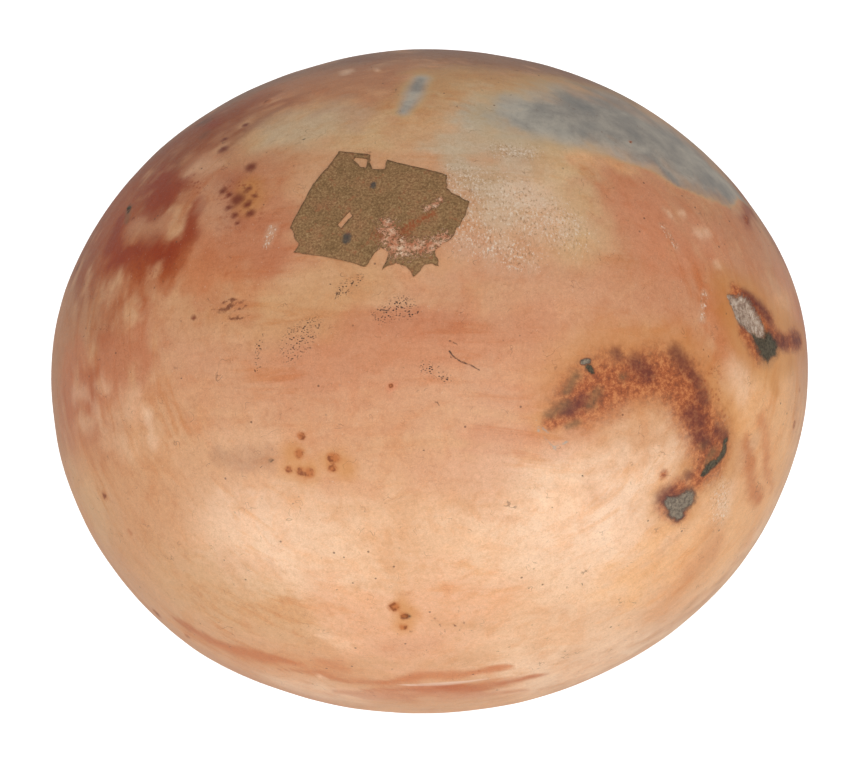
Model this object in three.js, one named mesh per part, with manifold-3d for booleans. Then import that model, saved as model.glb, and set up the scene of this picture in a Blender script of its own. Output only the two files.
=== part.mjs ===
// A gourd maraca: a dried gourd, loose seeds inside it, and a whittled handle that plugs the gourd's neck.
// The handle's tenon goes up through the neck, whose lip sits on a bed of pitch. Wooden pegs hold the tenon,
// and a cord is wound over the joint. A torn remnant of a paper label is glued to the crown.
// Millimetres. The origin is the middle of the handle's flat butt, and +Z runs up the handle to the crown.
import * as THREE from "three";
import { mergeVertices } from "three/addons/utils/BufferGeometryUtils.js";
import Module from "manifold-3d";

const wasm = await Module();
wasm.setup();

// Driving dimensions.
const HEAD_WIDTH = 140; // the gourd across X
const HEAD_DEPTH = 122.6; // the gourd across Y: it is oval
const CROWN_RISE = 66; // from the gourd's widest ring up to its crown
const HEAD_DROP = 80; // from the widest ring down to the neck's lip
const NECK_LENGTH = 10; // the straight part of the neck
const NECK_RADIUS = 15.6;
const WALL = 4.4; // the gourd's rind
const GAP = 0.3; // left between pieces that touch
const SEAL_THICKNESS = 1.6; // the bed of pitch between neck and handle
const SHOULDER_Z = 136.1; // top of the handle's shoulder
const TENON_LENGTH = 32; // from the shoulder up into the gourd
const CORD_DIAMETER = 2;
const CORD_PITCH = 2.25;
const CORD_TURNS = 10;
const PEG_COUNT = 4;
const PEG_RADIUS = 1.2;
const PEG_LENGTH = 8.4;
const SEED_RADIUS = 3.7; // the longest half of a seed
const SEED_WIDTH = { mean: 0.86, varies: 0.1 }; // shares of its length
const SEED_DEPTH = { mean: 0.84, varies: 0.08 };
const SEED_RINGS = [
  { count: 6, radius: 17, start: 4.4 },
  { count: 9, radius: 26, start: 0.85 },
  { count: 11, radius: 35.5, start: 4.1 },
];
const LABEL = { width: 28.5, height: 22, thickness: 0.3, x: -8.5, y: 20.5, turn: -0.22, lift: 0.55 };
const LABEL_TEARS = [
  { x: 14, y: -12, radius: 7.5 },
  { x: -15.2, y: -3, radius: 3.4 },
  { x: 13.4, y: 11.6, radius: 3.2 },
  { x: -3, y: 12, radius: 2.6 },
  { x: -6, y: -11.6, radius: 2 },
];

// The handle's outline from its butt up to its shoulder: distance from the axis, then height.
const BUTT = { faceRadius: 16, edgeRadius: 17.8, bevel: 1.6 };
const GRIP = [
  [18.6, 7],
  [17.2, 14],
  [12.6, 26],
  [11.4, 40],
  [12.6, 62],
  [13.6, 84],
  [13.2, 102],
  [14.2, 114],
  [NECK_RADIUS, 122],
];
const TENON_BEVEL = { width: 1.5, height: 2 };

// Places that follow from them.
const MEAN_RADIUS = (HEAD_WIDTH + HEAD_DEPTH) / 4;
const LIP_Z = SHOULDER_Z + SEAL_THICKNESS + 2 * GAP;
const WIDEST_Z = LIP_Z + HEAD_DROP;
const CORD_BOTTOM_Z = LIP_Z - 12.5;
const TENON_RADIUS = NECK_RADIUS - WALL - 0.4;
const PEG_Z = LIP_Z + 5;

// The natural gourd isn't round: it bulges a little on one side and is flatter on the next.
const LUMPS = [
  { at: THREE.MathUtils.degToRad(228), spread: 0.45, height: 1.3 },
  { at: THREE.MathUtils.degToRad(318), spread: 0.5, height: -0.85 },
];

const finish = (color, roughness, metalness = 0) =>
  new THREE.MeshStandardMaterial({ color, roughness, metalness });
const MATERIALS = {
  rind: finish(0xd79a6e, 0.45),
  wood: finish(0x7a5236, 0.55),
  peg: finish(0xb08a58, 0.7),
  pitch: finish(0x2a1a10, 0.35),
  cord: finish(0xa88a5e, 0.9),
  seed: finish(0x3a2417, 0.4),
  paper: finish(0x7d6a4c, 0.95),
};

const maraca = new THREE.Group();
maraca.name = "maraca";

function add(name, geometry, material) {
  const mesh = new THREE.Mesh(geometry, material);
  mesh.name = name;
  maraca.add(mesh);
  return mesh;
}

// Solids for cutting one piece with another.
function solidOf(geometry) {
  const bare = geometry.index ? geometry.toNonIndexed() : geometry.clone();
  bare.deleteAttribute("normal");
  bare.deleteAttribute("uv");
  const merged = mergeVertices(bare, 1e-3);
  return new wasm.Manifold(
    new wasm.Mesh({
      numProp: 3,
      vertProperties: new Float32Array(merged.attributes.position.array),
      triVerts: new Uint32Array(merged.index.array),
    }),
  );
}

function geometryOf(solid) {
  const mesh = solid.getMesh();
  const geometry = new THREE.BufferGeometry();
  geometry.setAttribute("position", new THREE.BufferAttribute(mesh.vertProperties, 3));
  geometry.setIndex(new THREE.BufferAttribute(mesh.triVerts, 1));
  geometry.computeVertexNormals();
  return geometry;
}

// LatheGeometry turns about Y. This stands its axis up along Z.
function lathe(profile, segments) {
  return new THREE.LatheGeometry(profile, segments).rotateX(Math.PI / 2);
}

// The outline of the gourd, from crown to lip, as if it were round.
function gourdOutline(domeSteps, bodySteps) {
  const dome = new THREE.EllipseCurve(0, WIDEST_Z, MEAN_RADIUS, CROWN_RISE, Math.PI / 2, 0, true);
  const neckTop = LIP_Z + NECK_LENGTH;
  const body = new THREE.CubicBezierCurve(
    new THREE.Vector2(MEAN_RADIUS, WIDEST_Z),
    new THREE.Vector2(MEAN_RADIUS, WIDEST_Z - 0.81 * CROWN_RISE),
    new THREE.Vector2(NECK_RADIUS, neckTop + NECK_LENGTH),
    new THREE.Vector2(NECK_RADIUS, neckTop),
  );
  const points = [...dome.getPoints(domeSteps), ...body.getPoints(bodySteps).slice(1)];
  points[0].x = 0;
  return [...points, new THREE.Vector2(NECK_RADIUS, LIP_Z)];
}

// The same outline, a distance inside it (or outside, if that is negative).
function inset(outline, distance) {
  return outline.map((point, i) => {
    const before = outline[Math.max(i - 1, 0)];
    const after = outline[Math.min(i + 1, outline.length - 1)];
    const along = after.clone().sub(before).normalize();
    const onAxis = i === 0;
    return new THREE.Vector2(
      onAxis ? 0 : point.x + along.y * distance,
      onAxis ? point.y - distance : point.y - along.x * distance,
    );
  });
}

// How much wider than round the gourd is, towards this angle at this height. The neck stays round.
function swelling(angle, z) {
  const halfWidth = HEAD_WIDTH / 2;
  const halfDepth = HEAD_DEPTH / 2;
  const oval =
    (halfWidth * halfDepth) / Math.hypot(halfDepth * Math.cos(angle), halfWidth * Math.sin(angle));
  const neckFade = THREE.MathUtils.smoothstep(z, LIP_Z + NECK_LENGTH, WIDEST_Z - CROWN_RISE / 2);
  const rise = Math.min(Math.max((z - WIDEST_Z) / CROWN_RISE, 0), 1);
  const lumps = LUMPS.reduce((sum, lump) => {
    const away = Math.atan2(Math.sin(angle - lump.at), Math.cos(angle - lump.at));
    return sum + lump.height * Math.exp(-((away / lump.spread) ** 2));
  }, 0);
  return 1 + neckFade * ((oval + lumps * (1 - rise * rise)) / MEAN_RADIUS - 1);
}

// Moves every vertex of a round geometry out or in, to the gourd's own shape.
function swell(geometry) {
  const at = geometry.attributes.position;
  for (let i = 0; i < at.count; i++) {
    const grow = swelling(Math.atan2(at.getY(i), at.getX(i)), at.getZ(i));
    at.setXY(i, at.getX(i) * grow, at.getY(i) * grow);
  }
  return geometry;
}

// The height of the rind's outside over (x, y), near the crown, refined because the swelling depends on it.
function crownHeight(x, y) {
  let z = WIDEST_Z + CROWN_RISE;
  for (let refinement = 0; refinement < 12; refinement++) {
    const share = Math.hypot(x, y) / swelling(Math.atan2(y, x), z) / MEAN_RADIUS;
    z = WIDEST_Z + CROWN_RISE * Math.sqrt(Math.max(1 - share * share, 0));
  }
  return z;
}

// A point on the crown over (x, y), a distance off the rind.
function overCrown(x, y, lift) {
  const step = 0.5;
  const slopeX = (crownHeight(x + step, y) - crownHeight(x - step, y)) / (2 * step);
  const slopeY = (crownHeight(x, y + step) - crownHeight(x, y - step)) / (2 * step);
  const normal = new THREE.Vector3(-slopeX, -slopeY, 1).normalize();
  return new THREE.Vector3(x, y, crownHeight(x, y)).addScaledVector(normal, lift);
}

// One peg's place: a cylinder that points out from the axis.
function radialCylinder(radius, innerEnd, length, angle) {
  return new THREE.CylinderGeometry(radius, radius, length, 10)
    .rotateZ(-Math.PI / 2)
    .translate(innerEnd + length / 2, 0, PEG_Z)
    .rotateZ(angle);
}

const pegAngles = Array.from({ length: PEG_COUNT }, (_, i) => ((i + 0.5) * 2 * Math.PI) / PEG_COUNT);
const pegInnerEnd = NECK_RADIUS - GAP - PEG_LENGTH;

function drillPegHoles(geometry) {
  let solid = solidOf(geometry);
  for (const angle of pegAngles) {
    const drill = radialCylinder(PEG_RADIUS + GAP, pegInnerEnd - GAP, PEG_LENGTH + WALL, angle);
    solid = solid.subtract(solidOf(drill));
  }
  return geometryOf(solid);
}

function gourdShell() {
  const outside = gourdOutline(11, 12);
  const cavity = inset(gourdOutline(9, 10), WALL).reverse();
  cavity[0].y = LIP_Z;
  const round = lathe([...outside, ...cavity].reverse(), 44);
  return drillPegHoles(swell(round));
}

function handle() {
  const grip = new THREE.SplineCurve(GRIP.map(([radius, z]) => new THREE.Vector2(radius, z)));
  const tenonTop = SHOULDER_Z + TENON_LENGTH;
  const profile = [
    new THREE.Vector2(0, 0),
    new THREE.Vector2(BUTT.faceRadius, 0),
    new THREE.Vector2(BUTT.edgeRadius, BUTT.bevel),
    ...grip.getPoints(2 * GRIP.length),
    new THREE.Vector2(NECK_RADIUS, SHOULDER_Z),
    new THREE.Vector2(TENON_RADIUS, SHOULDER_Z),
    new THREE.Vector2(TENON_RADIUS, tenonTop - TENON_BEVEL.height),
    new THREE.Vector2(TENON_RADIUS - TENON_BEVEL.width, tenonTop),
    new THREE.Vector2(0, tenonTop),
  ];
  return drillPegHoles(lathe(profile, 30));
}

// The bed of pitch that the neck's lip sits on.
function jointSeal() {
  const bottom = SHOULDER_Z + GAP;
  const inner = TENON_RADIUS + GAP;
  const section = [
    new THREE.Vector2(inner, bottom),
    new THREE.Vector2(NECK_RADIUS, bottom),
    new THREE.Vector2(NECK_RADIUS, bottom + SEAL_THICKNESS),
    new THREE.Vector2(inner, bottom + SEAL_THICKNESS),
    new THREE.Vector2(inner, bottom),
  ];
  return lathe(section, 30);
}

// The winding over the joint.
class Winding extends THREE.Curve {
  getPoint(share, target = new THREE.Vector3()) {
    const angle = share * CORD_TURNS * 2 * Math.PI;
    const radius = NECK_RADIUS + GAP + 0.1 + CORD_DIAMETER / 2;
    const z = CORD_BOTTOM_Z + share * CORD_TURNS * CORD_PITCH;
    return target.set(radius * Math.cos(angle), radius * Math.sin(angle), z);
  }
}

function neckBinding() {
  const section = new THREE.Shape().absarc(0, 0, CORD_DIAMETER / 2, 0, 2 * Math.PI);
  return new THREE.ExtrudeGeometry(section, {
    steps: CORD_TURNS * 18,
    curveSegments: 3,
    extrudePath: new Winding(),
  });
}

// The label is a flat card with pieces torn out of its edges, bent down on to the crown.
function labelRemnant() {
  let torn = solidOf(new THREE.BoxGeometry(LABEL.width, LABEL.height, LABEL.thickness, 8, 6, 1));
  for (const tear of LABEL_TEARS) {
    const bite = new THREE.CylinderGeometry(tear.radius, tear.radius, 2, 9).rotateX(Math.PI / 2);
    torn = torn.subtract(solidOf(bite.translate(tear.x, tear.y, 0)));
  }
  const card = geometryOf(torn).rotateZ(LABEL.turn);
  const at = card.attributes.position;
  for (let i = 0; i < at.count; i++) {
    const lift = LABEL.lift + at.getZ(i) + LABEL.thickness / 2;
    const bent = overCrown(LABEL.x + at.getX(i), LABEL.y + at.getY(i), lift);
    at.setXYZ(i, bent.x, bent.y, bent.z);
  }
  return card;
}

// A seed lies on the inside of the rind, round the tenon.
function seed(index, angle, radius) {
  const bed = inset(gourdOutline(20, 200), WALL + GAP + SEED_RADIUS).filter((p) => p.y < WIDEST_Z);
  const place = bed.reduce((a, b) => (Math.abs(a.x - radius) < Math.abs(b.x - radius) ? a : b));
  const grow = swelling(angle, place.y);
  const width = SEED_WIDTH.mean + SEED_WIDTH.varies * Math.sin(index * 2.4);
  const depth = SEED_DEPTH.mean + SEED_DEPTH.varies * Math.cos(index * 1.7);
  const mesh = add(
    `seed_${String(index).padStart(2, "0")}`,
    new THREE.SphereGeometry(SEED_RADIUS, 9, 6),
    MATERIALS.seed,
  );
  mesh.scale.set(1, width, depth);
  mesh.rotation.set(index * 1.1, index * 0.7, index * 2.3);
  mesh.position.set(radius * grow * Math.cos(angle), radius * grow * Math.sin(angle), place.y);
}

// Rings of seeds, a little unevenly spaced, each ring turned by its own start angle.
function seeds() {
  let index = 1;
  for (const ring of SEED_RINGS) {
    for (let i = 0; i < ring.count; i++) {
      const uneven = 0.12 * Math.sin(index * 5.1);
      seed(index, ((i + uneven) * 2 * Math.PI) / ring.count + ring.start, ring.radius);
      index++;
    }
  }
}

add("gourd_shell", gourdShell(), MATERIALS.rind);
add("handle", handle(), MATERIALS.wood);
pegAngles.forEach((angle, i) =>
  add(`neck_peg_${i + 1}`, radialCylinder(PEG_RADIUS, pegInnerEnd, PEG_LENGTH, angle), MATERIALS.peg),
);
add("joint_seal", jointSeal(), MATERIALS.pitch);
add("neck_binding", neckBinding(), MATERIALS.cord);
add("label_remnant", labelRemnant(), MATERIALS.paper);
seeds();

export default maraca;
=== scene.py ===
"""A gourd maraca that stands on its handle, seen from above its crown.

Lengths are in metres, and MM turns millimetres into metres. Marks on the rind are placed on the crown map:
distances measured over the skin from the crown, towards +X and towards +Y, in millimetres.
"""

import math

import bpy
import numpy as np
from mathutils import Matrix, Vector
from mathutils.geometry import delaunay_2d_cdt


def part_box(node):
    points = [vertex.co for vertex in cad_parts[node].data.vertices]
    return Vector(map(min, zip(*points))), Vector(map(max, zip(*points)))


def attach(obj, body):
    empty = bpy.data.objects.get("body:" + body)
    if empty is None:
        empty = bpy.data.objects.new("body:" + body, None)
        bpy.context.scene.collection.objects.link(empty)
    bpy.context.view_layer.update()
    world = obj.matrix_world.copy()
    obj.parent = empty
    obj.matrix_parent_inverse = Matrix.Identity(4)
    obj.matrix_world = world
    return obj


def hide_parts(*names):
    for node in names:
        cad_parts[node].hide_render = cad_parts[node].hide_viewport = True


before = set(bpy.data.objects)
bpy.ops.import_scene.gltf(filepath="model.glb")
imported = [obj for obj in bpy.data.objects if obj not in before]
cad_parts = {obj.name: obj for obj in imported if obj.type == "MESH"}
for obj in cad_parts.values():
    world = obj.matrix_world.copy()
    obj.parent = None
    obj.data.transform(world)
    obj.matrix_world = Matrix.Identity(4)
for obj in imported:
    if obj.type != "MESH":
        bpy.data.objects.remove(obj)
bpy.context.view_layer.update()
MM = 0.001

# ---------------------------------------------------------------- the gourd's shape

SHELL_LOW, SHELL_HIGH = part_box("gourd_shell")
HALF_WIDTH = 70 * MM
HALF_DEPTH = 61.3 * MM
MEAN_RADIUS = (HALF_WIDTH + HALF_DEPTH) / 2
CROWN_RISE = 66 * MM
WIDEST_Z = SHELL_HIGH.z - CROWN_RISE
LIP_Z = SHELL_LOW.z
NECK_LENGTH = 10 * MM
NECK_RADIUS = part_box("joint_seal")[1].x
WALL = 4.4 * MM
BELLY = 0.81
MAP_STEPS = 200
MAP_NECK_STEPS = 40

# Bulges and flats of the natural gourd: towards which angle, how wide in radians, how far out in metres.
LUMPS = [
    (math.radians(228), 0.45, 1.3 * MM),
    (math.radians(318), 0.50, -0.85 * MM),
    (math.radians(12), 0.25, 0.3 * MM),
    (math.radians(168), 0.22, 0.35 * MM),
    (math.radians(75), 0.30, -0.3 * MM),
    (math.radians(345), 0.2, -0.25 * MM),
]


def smoothstep(value, low, high):
    share = np.clip((value - low) / (high - low), 0, 1)
    return share * share * (3 - 2 * share)


def polar(points):
    """Each point's angle about the gourd's axis, and its distance from it."""
    return np.arctan2(points[:, 1], points[:, 0]), np.hypot(points[:, 0], points[:, 1])


def arc_lengths(line):
    """How far along a line each of its points lies."""
    return np.concatenate([[0], np.cumsum(np.linalg.norm(np.diff(line, axis=0), axis=1))])


def even(steps):
    """Evenly spaced angles down the dome."""
    return np.linspace(0, math.pi / 2, steps + 1)


def bezier(points, share):
    a, b, c, d = (np.array(p) for p in points)
    t = share[:, None]
    return a * (1 - t) ** 3 + 3 * b * t * (1 - t) ** 2 + 3 * c * t * t * (1 - t) + d * t**3


def outline(dome_angles, body_rows, neck_rows):
    """The gourd's outside from crown to lip, as if it were round: one (radius, z) a row."""
    angle = np.array(dome_angles)
    dome = np.column_stack([MEAN_RADIUS * np.sin(angle), WIDEST_Z + CROWN_RISE * np.cos(angle)])
    neck_top = LIP_Z + NECK_LENGTH
    flare = [
        (MEAN_RADIUS, WIDEST_Z),
        (MEAN_RADIUS, WIDEST_Z - BELLY * CROWN_RISE),
        (NECK_RADIUS, neck_top + NECK_LENGTH),
        (NECK_RADIUS, neck_top),
    ]
    body = bezier(flare, np.linspace(0, 1, body_rows + 1)[1:])
    neck_z = np.linspace(neck_top, LIP_Z, neck_rows + 1)[1:]
    neck = np.column_stack([np.full(neck_rows, NECK_RADIUS), neck_z])
    return np.vstack([dome, body, neck])


def inset(line, distance):
    """The outline moved inwards along its normals."""
    along = np.gradient(line, axis=0)
    along /= np.linalg.norm(along, axis=1)[:, None]
    moved = line + distance * np.column_stack([along[:, 1], -along[:, 0]])
    moved[0] = (0, line[0, 1] - distance)
    return moved


def swelling(angle, z):
    """How much wider than round the gourd is, towards an angle at a height. The neck stays round."""
    oval = HALF_WIDTH * HALF_DEPTH / np.hypot(HALF_DEPTH * np.cos(angle), HALF_WIDTH * np.sin(angle))
    fade = smoothstep(z, LIP_Z + NECK_LENGTH, WIDEST_Z - CROWN_RISE / 2)
    rise = np.clip((z - WIDEST_Z) / CROWN_RISE, 0, 1)
    lumps = 0
    for at, spread, height in LUMPS:
        away = np.arctan2(np.sin(angle - at), np.cos(angle - at))
        lumps = lumps + height * np.exp(-((away / spread) ** 2))
    return 1 + fade * ((oval + lumps * (1 - rise**2)) / MEAN_RADIUS - 1)


# ---------------------------------------------------------------- repeatable noise

def lattice(ix, iy, iz, seed):
    """A repeatable random number from -1 to 1 for each whole-numbered point."""
    h = (ix * 374761393 + iy * 668265263 + iz * 1440662683 + seed * 974634777) & 0xFFFFFFFF
    h = ((h ^ (h >> 15)) * 2246822519) & 0xFFFFFFFF
    h = ((h ^ (h >> 13)) * 3266489917) & 0xFFFFFFFF
    return ((h ^ (h >> 16)) & 0xFFFFFF) / 0x7FFFFF - 1


def wander(points, size, seed, octaves=3):
    """Smooth noise from about -1 to 1 at points (n by 2 or 3), with features of about that size."""
    if points.shape[1] == 2:
        points = np.column_stack([points, np.zeros(len(points))])
    total = np.zeros(len(points))
    strength = 1.0
    for octave in range(octaves):
        cell = points / size * 2**octave + 17.3 * octave
        whole = np.floor(cell).astype(np.int64)
        part = cell - whole
        part = part * part * (3 - 2 * part)
        for corner in range(8):
            step = np.array([corner & 1, corner >> 1 & 1, corner >> 2])
            weight = np.prod(np.where(step, part, 1 - part), axis=1)
            total += strength * weight * lattice(*(whole + step).T, seed + octave)
        strength *= 0.5
    return total * 1.1


# ---------------------------------------------------------------- colours

def srgb(red, green, blue):
    """A colour of 0 to 255 as linear RGB."""
    value = np.array([red, green, blue]) / 255
    return np.where(value <= 0.04045, value / 12.92, ((value + 0.055) / 1.055) ** 2.4)


PEACH = srgb(214, 164, 126)
PALE_PEACH = srgb(230, 188, 154)
# CREAM is the rind's palest tone, and it is also laid on as painted highlight on the lower crown.
CREAM = srgb(241, 206, 178)
HONEY = srgb(235, 182, 134)
BUFF = srgb(212, 171, 130)
YELLOW_BUFF = srgb(217, 182, 140)
OCHRE = srgb(204, 158, 110)
PINK = srgb(210, 153, 120)
SALMON = srgb(205, 143, 108)
DEEP_SALMON = srgb(196, 124, 88)
CORAL = srgb(220, 142, 108)
ORANGE_PEACH = srgb(212, 155, 112)
ORANGE = srgb(200, 124, 76)
BURNT = srgb(188, 106, 54)
TAN = srgb(190, 134, 98)
RUSSET = srgb(156, 81, 40)
SIENNA = srgb(175, 88, 37)
RED_BROWN = srgb(154, 58, 14)
MAUVE = srgb(160, 116, 90)
# Mauve-brown, darkened to serve as painted shade on the far rim.
MAUVE_AND_RIM_SHADE = srgb(146, 110, 90)
BROWN = srgb(112, 72, 50)
PALE_GREY = srgb(206, 188, 164)
SMOKE = srgb(186, 178, 164)
SMOKE_DARK = srgb(156, 150, 141)
SMOKE_BLUE = srgb(130, 130, 126)
HAZE = srgb(196, 188, 174)
BLUSH = srgb(228, 176, 142)


def closeness(spots, path, width):
    """1 on a path's middle, 0 at its edge, below 0 outside. width is a half-width, or one for each point."""
    path = np.array(path, float).reshape(-1, 2)
    widths = np.full(len(path), width, float) if np.isscalar(width) else np.array(width, float)
    if len(path) == 1:
        path, widths = np.vstack([path, path + 1e-3]), np.repeat(widths, 2)
    best = np.full(len(spots), -9.0)
    for a, b, wide_a, wide_b in zip(path[:-1], path[1:], widths[:-1], widths[1:]):
        along = b - a
        share = np.clip((spots - a) @ along / (along @ along), 0, 1)
        away = np.linalg.norm(spots - a - share[:, None] * along, axis=1)
        best = np.maximum(best, 1 - away / (wide_a + (wide_b - wide_a) * share))
    return best


# ---------------------------------------------------------------- node trees

class Tree:
    """A material's node tree, built by short calls. Each call returns the new node's output."""

    def __init__(self, name, **shader):
        self.material = bpy.data.materials.new(name)
        self.material.use_nodes = True
        self.nodes = self.material.node_tree.nodes
        self.nodes.clear()
        output = self.nodes.new("ShaderNodeOutputMaterial")
        self.shader = self.nodes.new("ShaderNodeBsdfPrincipled")
        self.material.node_tree.links.new(self.shader.outputs[0], output.inputs[0])
        for name, value in shader.items():
            self.shader.inputs[name.replace("_", " ")].default_value = value

    def node(self, kind, inputs, output=0, **settings):
        made = self.nodes.new("ShaderNode" + kind)
        for name, value in settings.items():
            setattr(made, name, value)
        for key, value in inputs.items():
            self.feed(made.inputs[key], value)
        return made.outputs[output]

    def feed(self, socket, value):
        if isinstance(value, bpy.types.NodeSocket):
            self.material.node_tree.links.new(value, socket)
        elif socket.type == "RGBA" and len(value) == 3:
            socket.default_value = (*value, 1)
        else:
            socket.default_value = value

    def shade(self, name, value):
        self.feed(self.shader.inputs[name], value)

    def attribute(self, name, output="Fac"):
        return self.node("Attribute", {}, output, attribute_name=name)

    def place(self):
        return self.node("TexCoord", {}, "Object")

    def noise(self, scale, where, detail=3.0, rough=0.55, distort=0.0):
        inputs = {"Scale": scale, "Vector": where, "Detail": detail, "Roughness": rough}
        return self.node("TexNoise", {**inputs, "Distortion": distort})

    def cells(self, scale, where):
        return self.node("TexVoronoi", {"Scale": scale, "Vector": where}, "Distance")

    def stretch(self, vector, scale):
        return self.node("Mapping", {"Vector": vector, "Scale": scale})

    def moved(self, vector, shift):
        return self.node("Mapping", {"Vector": vector, "Location": shift})

    def math(self, operation, a, b=0.0):
        return self.node("Math", {0: a, 1: b}, operation=operation)

    def times(self, a, b):
        return self.math("MULTIPLY", a, b)

    def plus(self, a, b):
        return self.math("ADD", a, b)

    def ease(self, value, low, high, to_low=0.0, to_high=1.0):
        inputs = {"Value": value, "From Min": low, "From Max": high, "To Min": to_low, "To Max": to_high}
        return self.node("MapRange", inputs, interpolation_type="SMOOTHSTEP")

    def mix(self, factor, a, b, blend="MIX"):
        made = self.nodes.new("ShaderNodeMix")
        made.data_type = "RGBA"
        made.blend_type = blend
        for index, value in ((0, factor), (6, a), (7, b)):
            self.feed(made.inputs[index], value)
        return made.outputs[2]

    def tint(self, colour, share, tone):
        return self.mix(share, colour, tone, "MULTIPLY")

    def ramp(self, factor, *stops):
        made = self.nodes.new("ShaderNodeValToRGB")
        while len(made.color_ramp.elements) < len(stops):
            made.color_ramp.elements.new(0.5)
        for element, (place, colour) in zip(made.color_ramp.elements, stops):
            element.position = place
            element.color = (*colour, 1)
        self.feed(made.inputs[0], factor)
        return made.outputs[0]

    def bump(self, height, depth, strength=1.0, normal=None):
        inputs = {"Height": height, "Distance": depth, "Strength": strength}
        if normal is not None:
            inputs["Normal"] = normal
        return self.node("Bump", inputs)


# ---------------------------------------------------------------- camera, light and floor

CAMERA_ELEVATION = math.radians(80)
CAMERA_DISTANCE = 1.2
HEAD_SHARE = 0.885
SHIFT = (-0.004, -0.003)
FLOOR_HALF = 12.0
HEAD_CENTRE = Vector((0, 0, WIDEST_Z))
SENSOR = 36
WALL_LIGHT, CEILING_LIGHT = 0.26, 0.98
FLOOR_BOUNCE, FLOOR_GLOW = 0.45, 0.5


def placed(name, data):
    """A new object in the scene."""
    thing = bpy.data.objects.new(name, data)
    bpy.context.scene.collection.objects.link(thing)
    return thing


def make_camera():
    """Looks down on the crown from the front, so that the head hides the handle."""
    data = bpy.data.cameras.new("camera")
    data.sensor_width = SENSOR
    half_angle = math.asin(HALF_WIDTH / CAMERA_DISTANCE)
    data.lens = SENSOR * HEAD_SHARE / (2 * math.tan(half_angle))
    data.shift_x, data.shift_y = SHIFT
    camera = placed("camera", data)
    back = Vector((0, -math.cos(CAMERA_ELEVATION), math.sin(CAMERA_ELEVATION)))
    camera.location = HEAD_CENTRE + CAMERA_DISTANCE * back
    camera.rotation_euler = back.to_track_quat("Z", "Y").to_euler()
    bpy.context.scene.camera = camera


def make_light(name, direction, distance, size, watts, colour=(1, 1, 1)):
    """A softbox that faces the head and isn't seen itself."""
    data = bpy.data.lights.new(name, "AREA")
    data.shape = "RECTANGLE"
    data.size, data.size_y = size
    data.energy = watts
    data.color = colour
    lamp = placed(name, data)
    aim = Vector(direction).normalized()
    lamp.location = HEAD_CENTRE + distance * aim
    lamp.rotation_euler = aim.to_track_quat("Z", "Y").to_euler()
    lamp.visible_camera = False


def make_world():
    """A studio's pale walls, brighter towards the ceiling. The eye sees them as a white backdrop."""
    world = bpy.data.worlds.new("studio")
    world.use_nodes = True
    nodes, links = world.node_tree.nodes, world.node_tree.links
    nodes.clear()
    place, split = nodes.new("ShaderNodeTexCoord"), nodes.new("ShaderNodeSeparateXYZ")
    links.new(place.outputs["Generated"], split.inputs[0])
    climb = nodes.new("ShaderNodeMapRange")
    climb.inputs["To Min"].default_value = WALL_LIGHT
    climb.inputs["To Max"].default_value = CEILING_LIGHT
    links.new(split.outputs["Z"], climb.inputs["Value"])
    seen = nodes.new("ShaderNodeLightPath")
    fill, backdrop = nodes.new("ShaderNodeBackground"), nodes.new("ShaderNodeBackground")
    links.new(climb.outputs[0], fill.inputs["Strength"])
    backdrop.inputs["Strength"].default_value = 1.0
    fill.inputs["Color"].default_value = (1, 0.99, 0.98, 1)
    backdrop.inputs["Color"].default_value = (1, 1, 1, 1)
    mixed, output = nodes.new("ShaderNodeMixShader"), nodes.new("ShaderNodeOutputWorld")
    links.new(seen.outputs["Is Camera Ray"], mixed.inputs[0])
    links.new(fill.outputs[0], mixed.inputs[1])
    links.new(backdrop.outputs[0], mixed.inputs[2])
    links.new(mixed.outputs[0], output.inputs["Surface"])
    bpy.context.scene.world = world


def make_floor():
    """A wide sheet of pale paper, lit from behind for the eye. It throws little light back at the object."""
    tree = Tree("floor_paper", Roughness=0.9)
    grain = tree.noise(40.0, tree.place())
    seen = tree.node("LightPath", {}, "Is Camera Ray")
    paper = tree.ramp(grain, (0.3, (0.86, 0.86, 0.86)), (0.7, (0.9, 0.9, 0.9)))
    tree.shade("Base Color", tree.mix(seen, (FLOOR_BOUNCE,) * 3, paper))
    tree.shader.inputs["Emission Color"].default_value = (1, 1, 1, 1)
    tree.shade("Emission Strength", tree.times(seen, FLOOR_GLOW))
    mesh = bpy.data.meshes.new("floor")
    corners = [(x * FLOOR_HALF, y * FLOOR_HALF, 0) for x, y in ((-1, -1), (1, -1), (1, 1), (-1, 1))]
    mesh.from_pydata(corners, [], [(0, 1, 2, 3)])
    mesh.materials.append(tree.material)
    placed("floor", mesh)


def make_stage():
    make_camera()
    make_world()
    make_floor()
    make_light("softbox_left", (-0.65, -0.72, 0.19), 0.9, (0.34, 0.34), 2.2, (1, 0.985, 0.96))
    make_light("softbox_right", (0.65, -0.72, 0.19), 0.9, (0.34, 0.34), 2.2, (1, 0.985, 0.96))
    make_light("overhead", (0.3, -0.35, 0.9), 1.5, (0.9, 0.9), 3.0)
    scene = bpy.context.scene
    scene.view_settings.view_transform = "Standard"
    scene.view_settings.look = "None"


# ---------------------------------------------------------------- pieces from arrays

def make_piece(name, vertices, faces, node, body, material):
    """A mesh piece that stands for a CAD node, rides on its body and takes the material it is given."""
    mesh = bpy.data.meshes.new(name)
    mesh.from_pydata(np.asarray(vertices).tolist(), [], faces)
    mesh.polygons.foreach_set("use_smooth", [True] * len(mesh.polygons))
    mesh.materials.append(material)
    piece = placed(name, mesh)
    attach(piece, body)
    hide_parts(node)
    return piece


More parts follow.
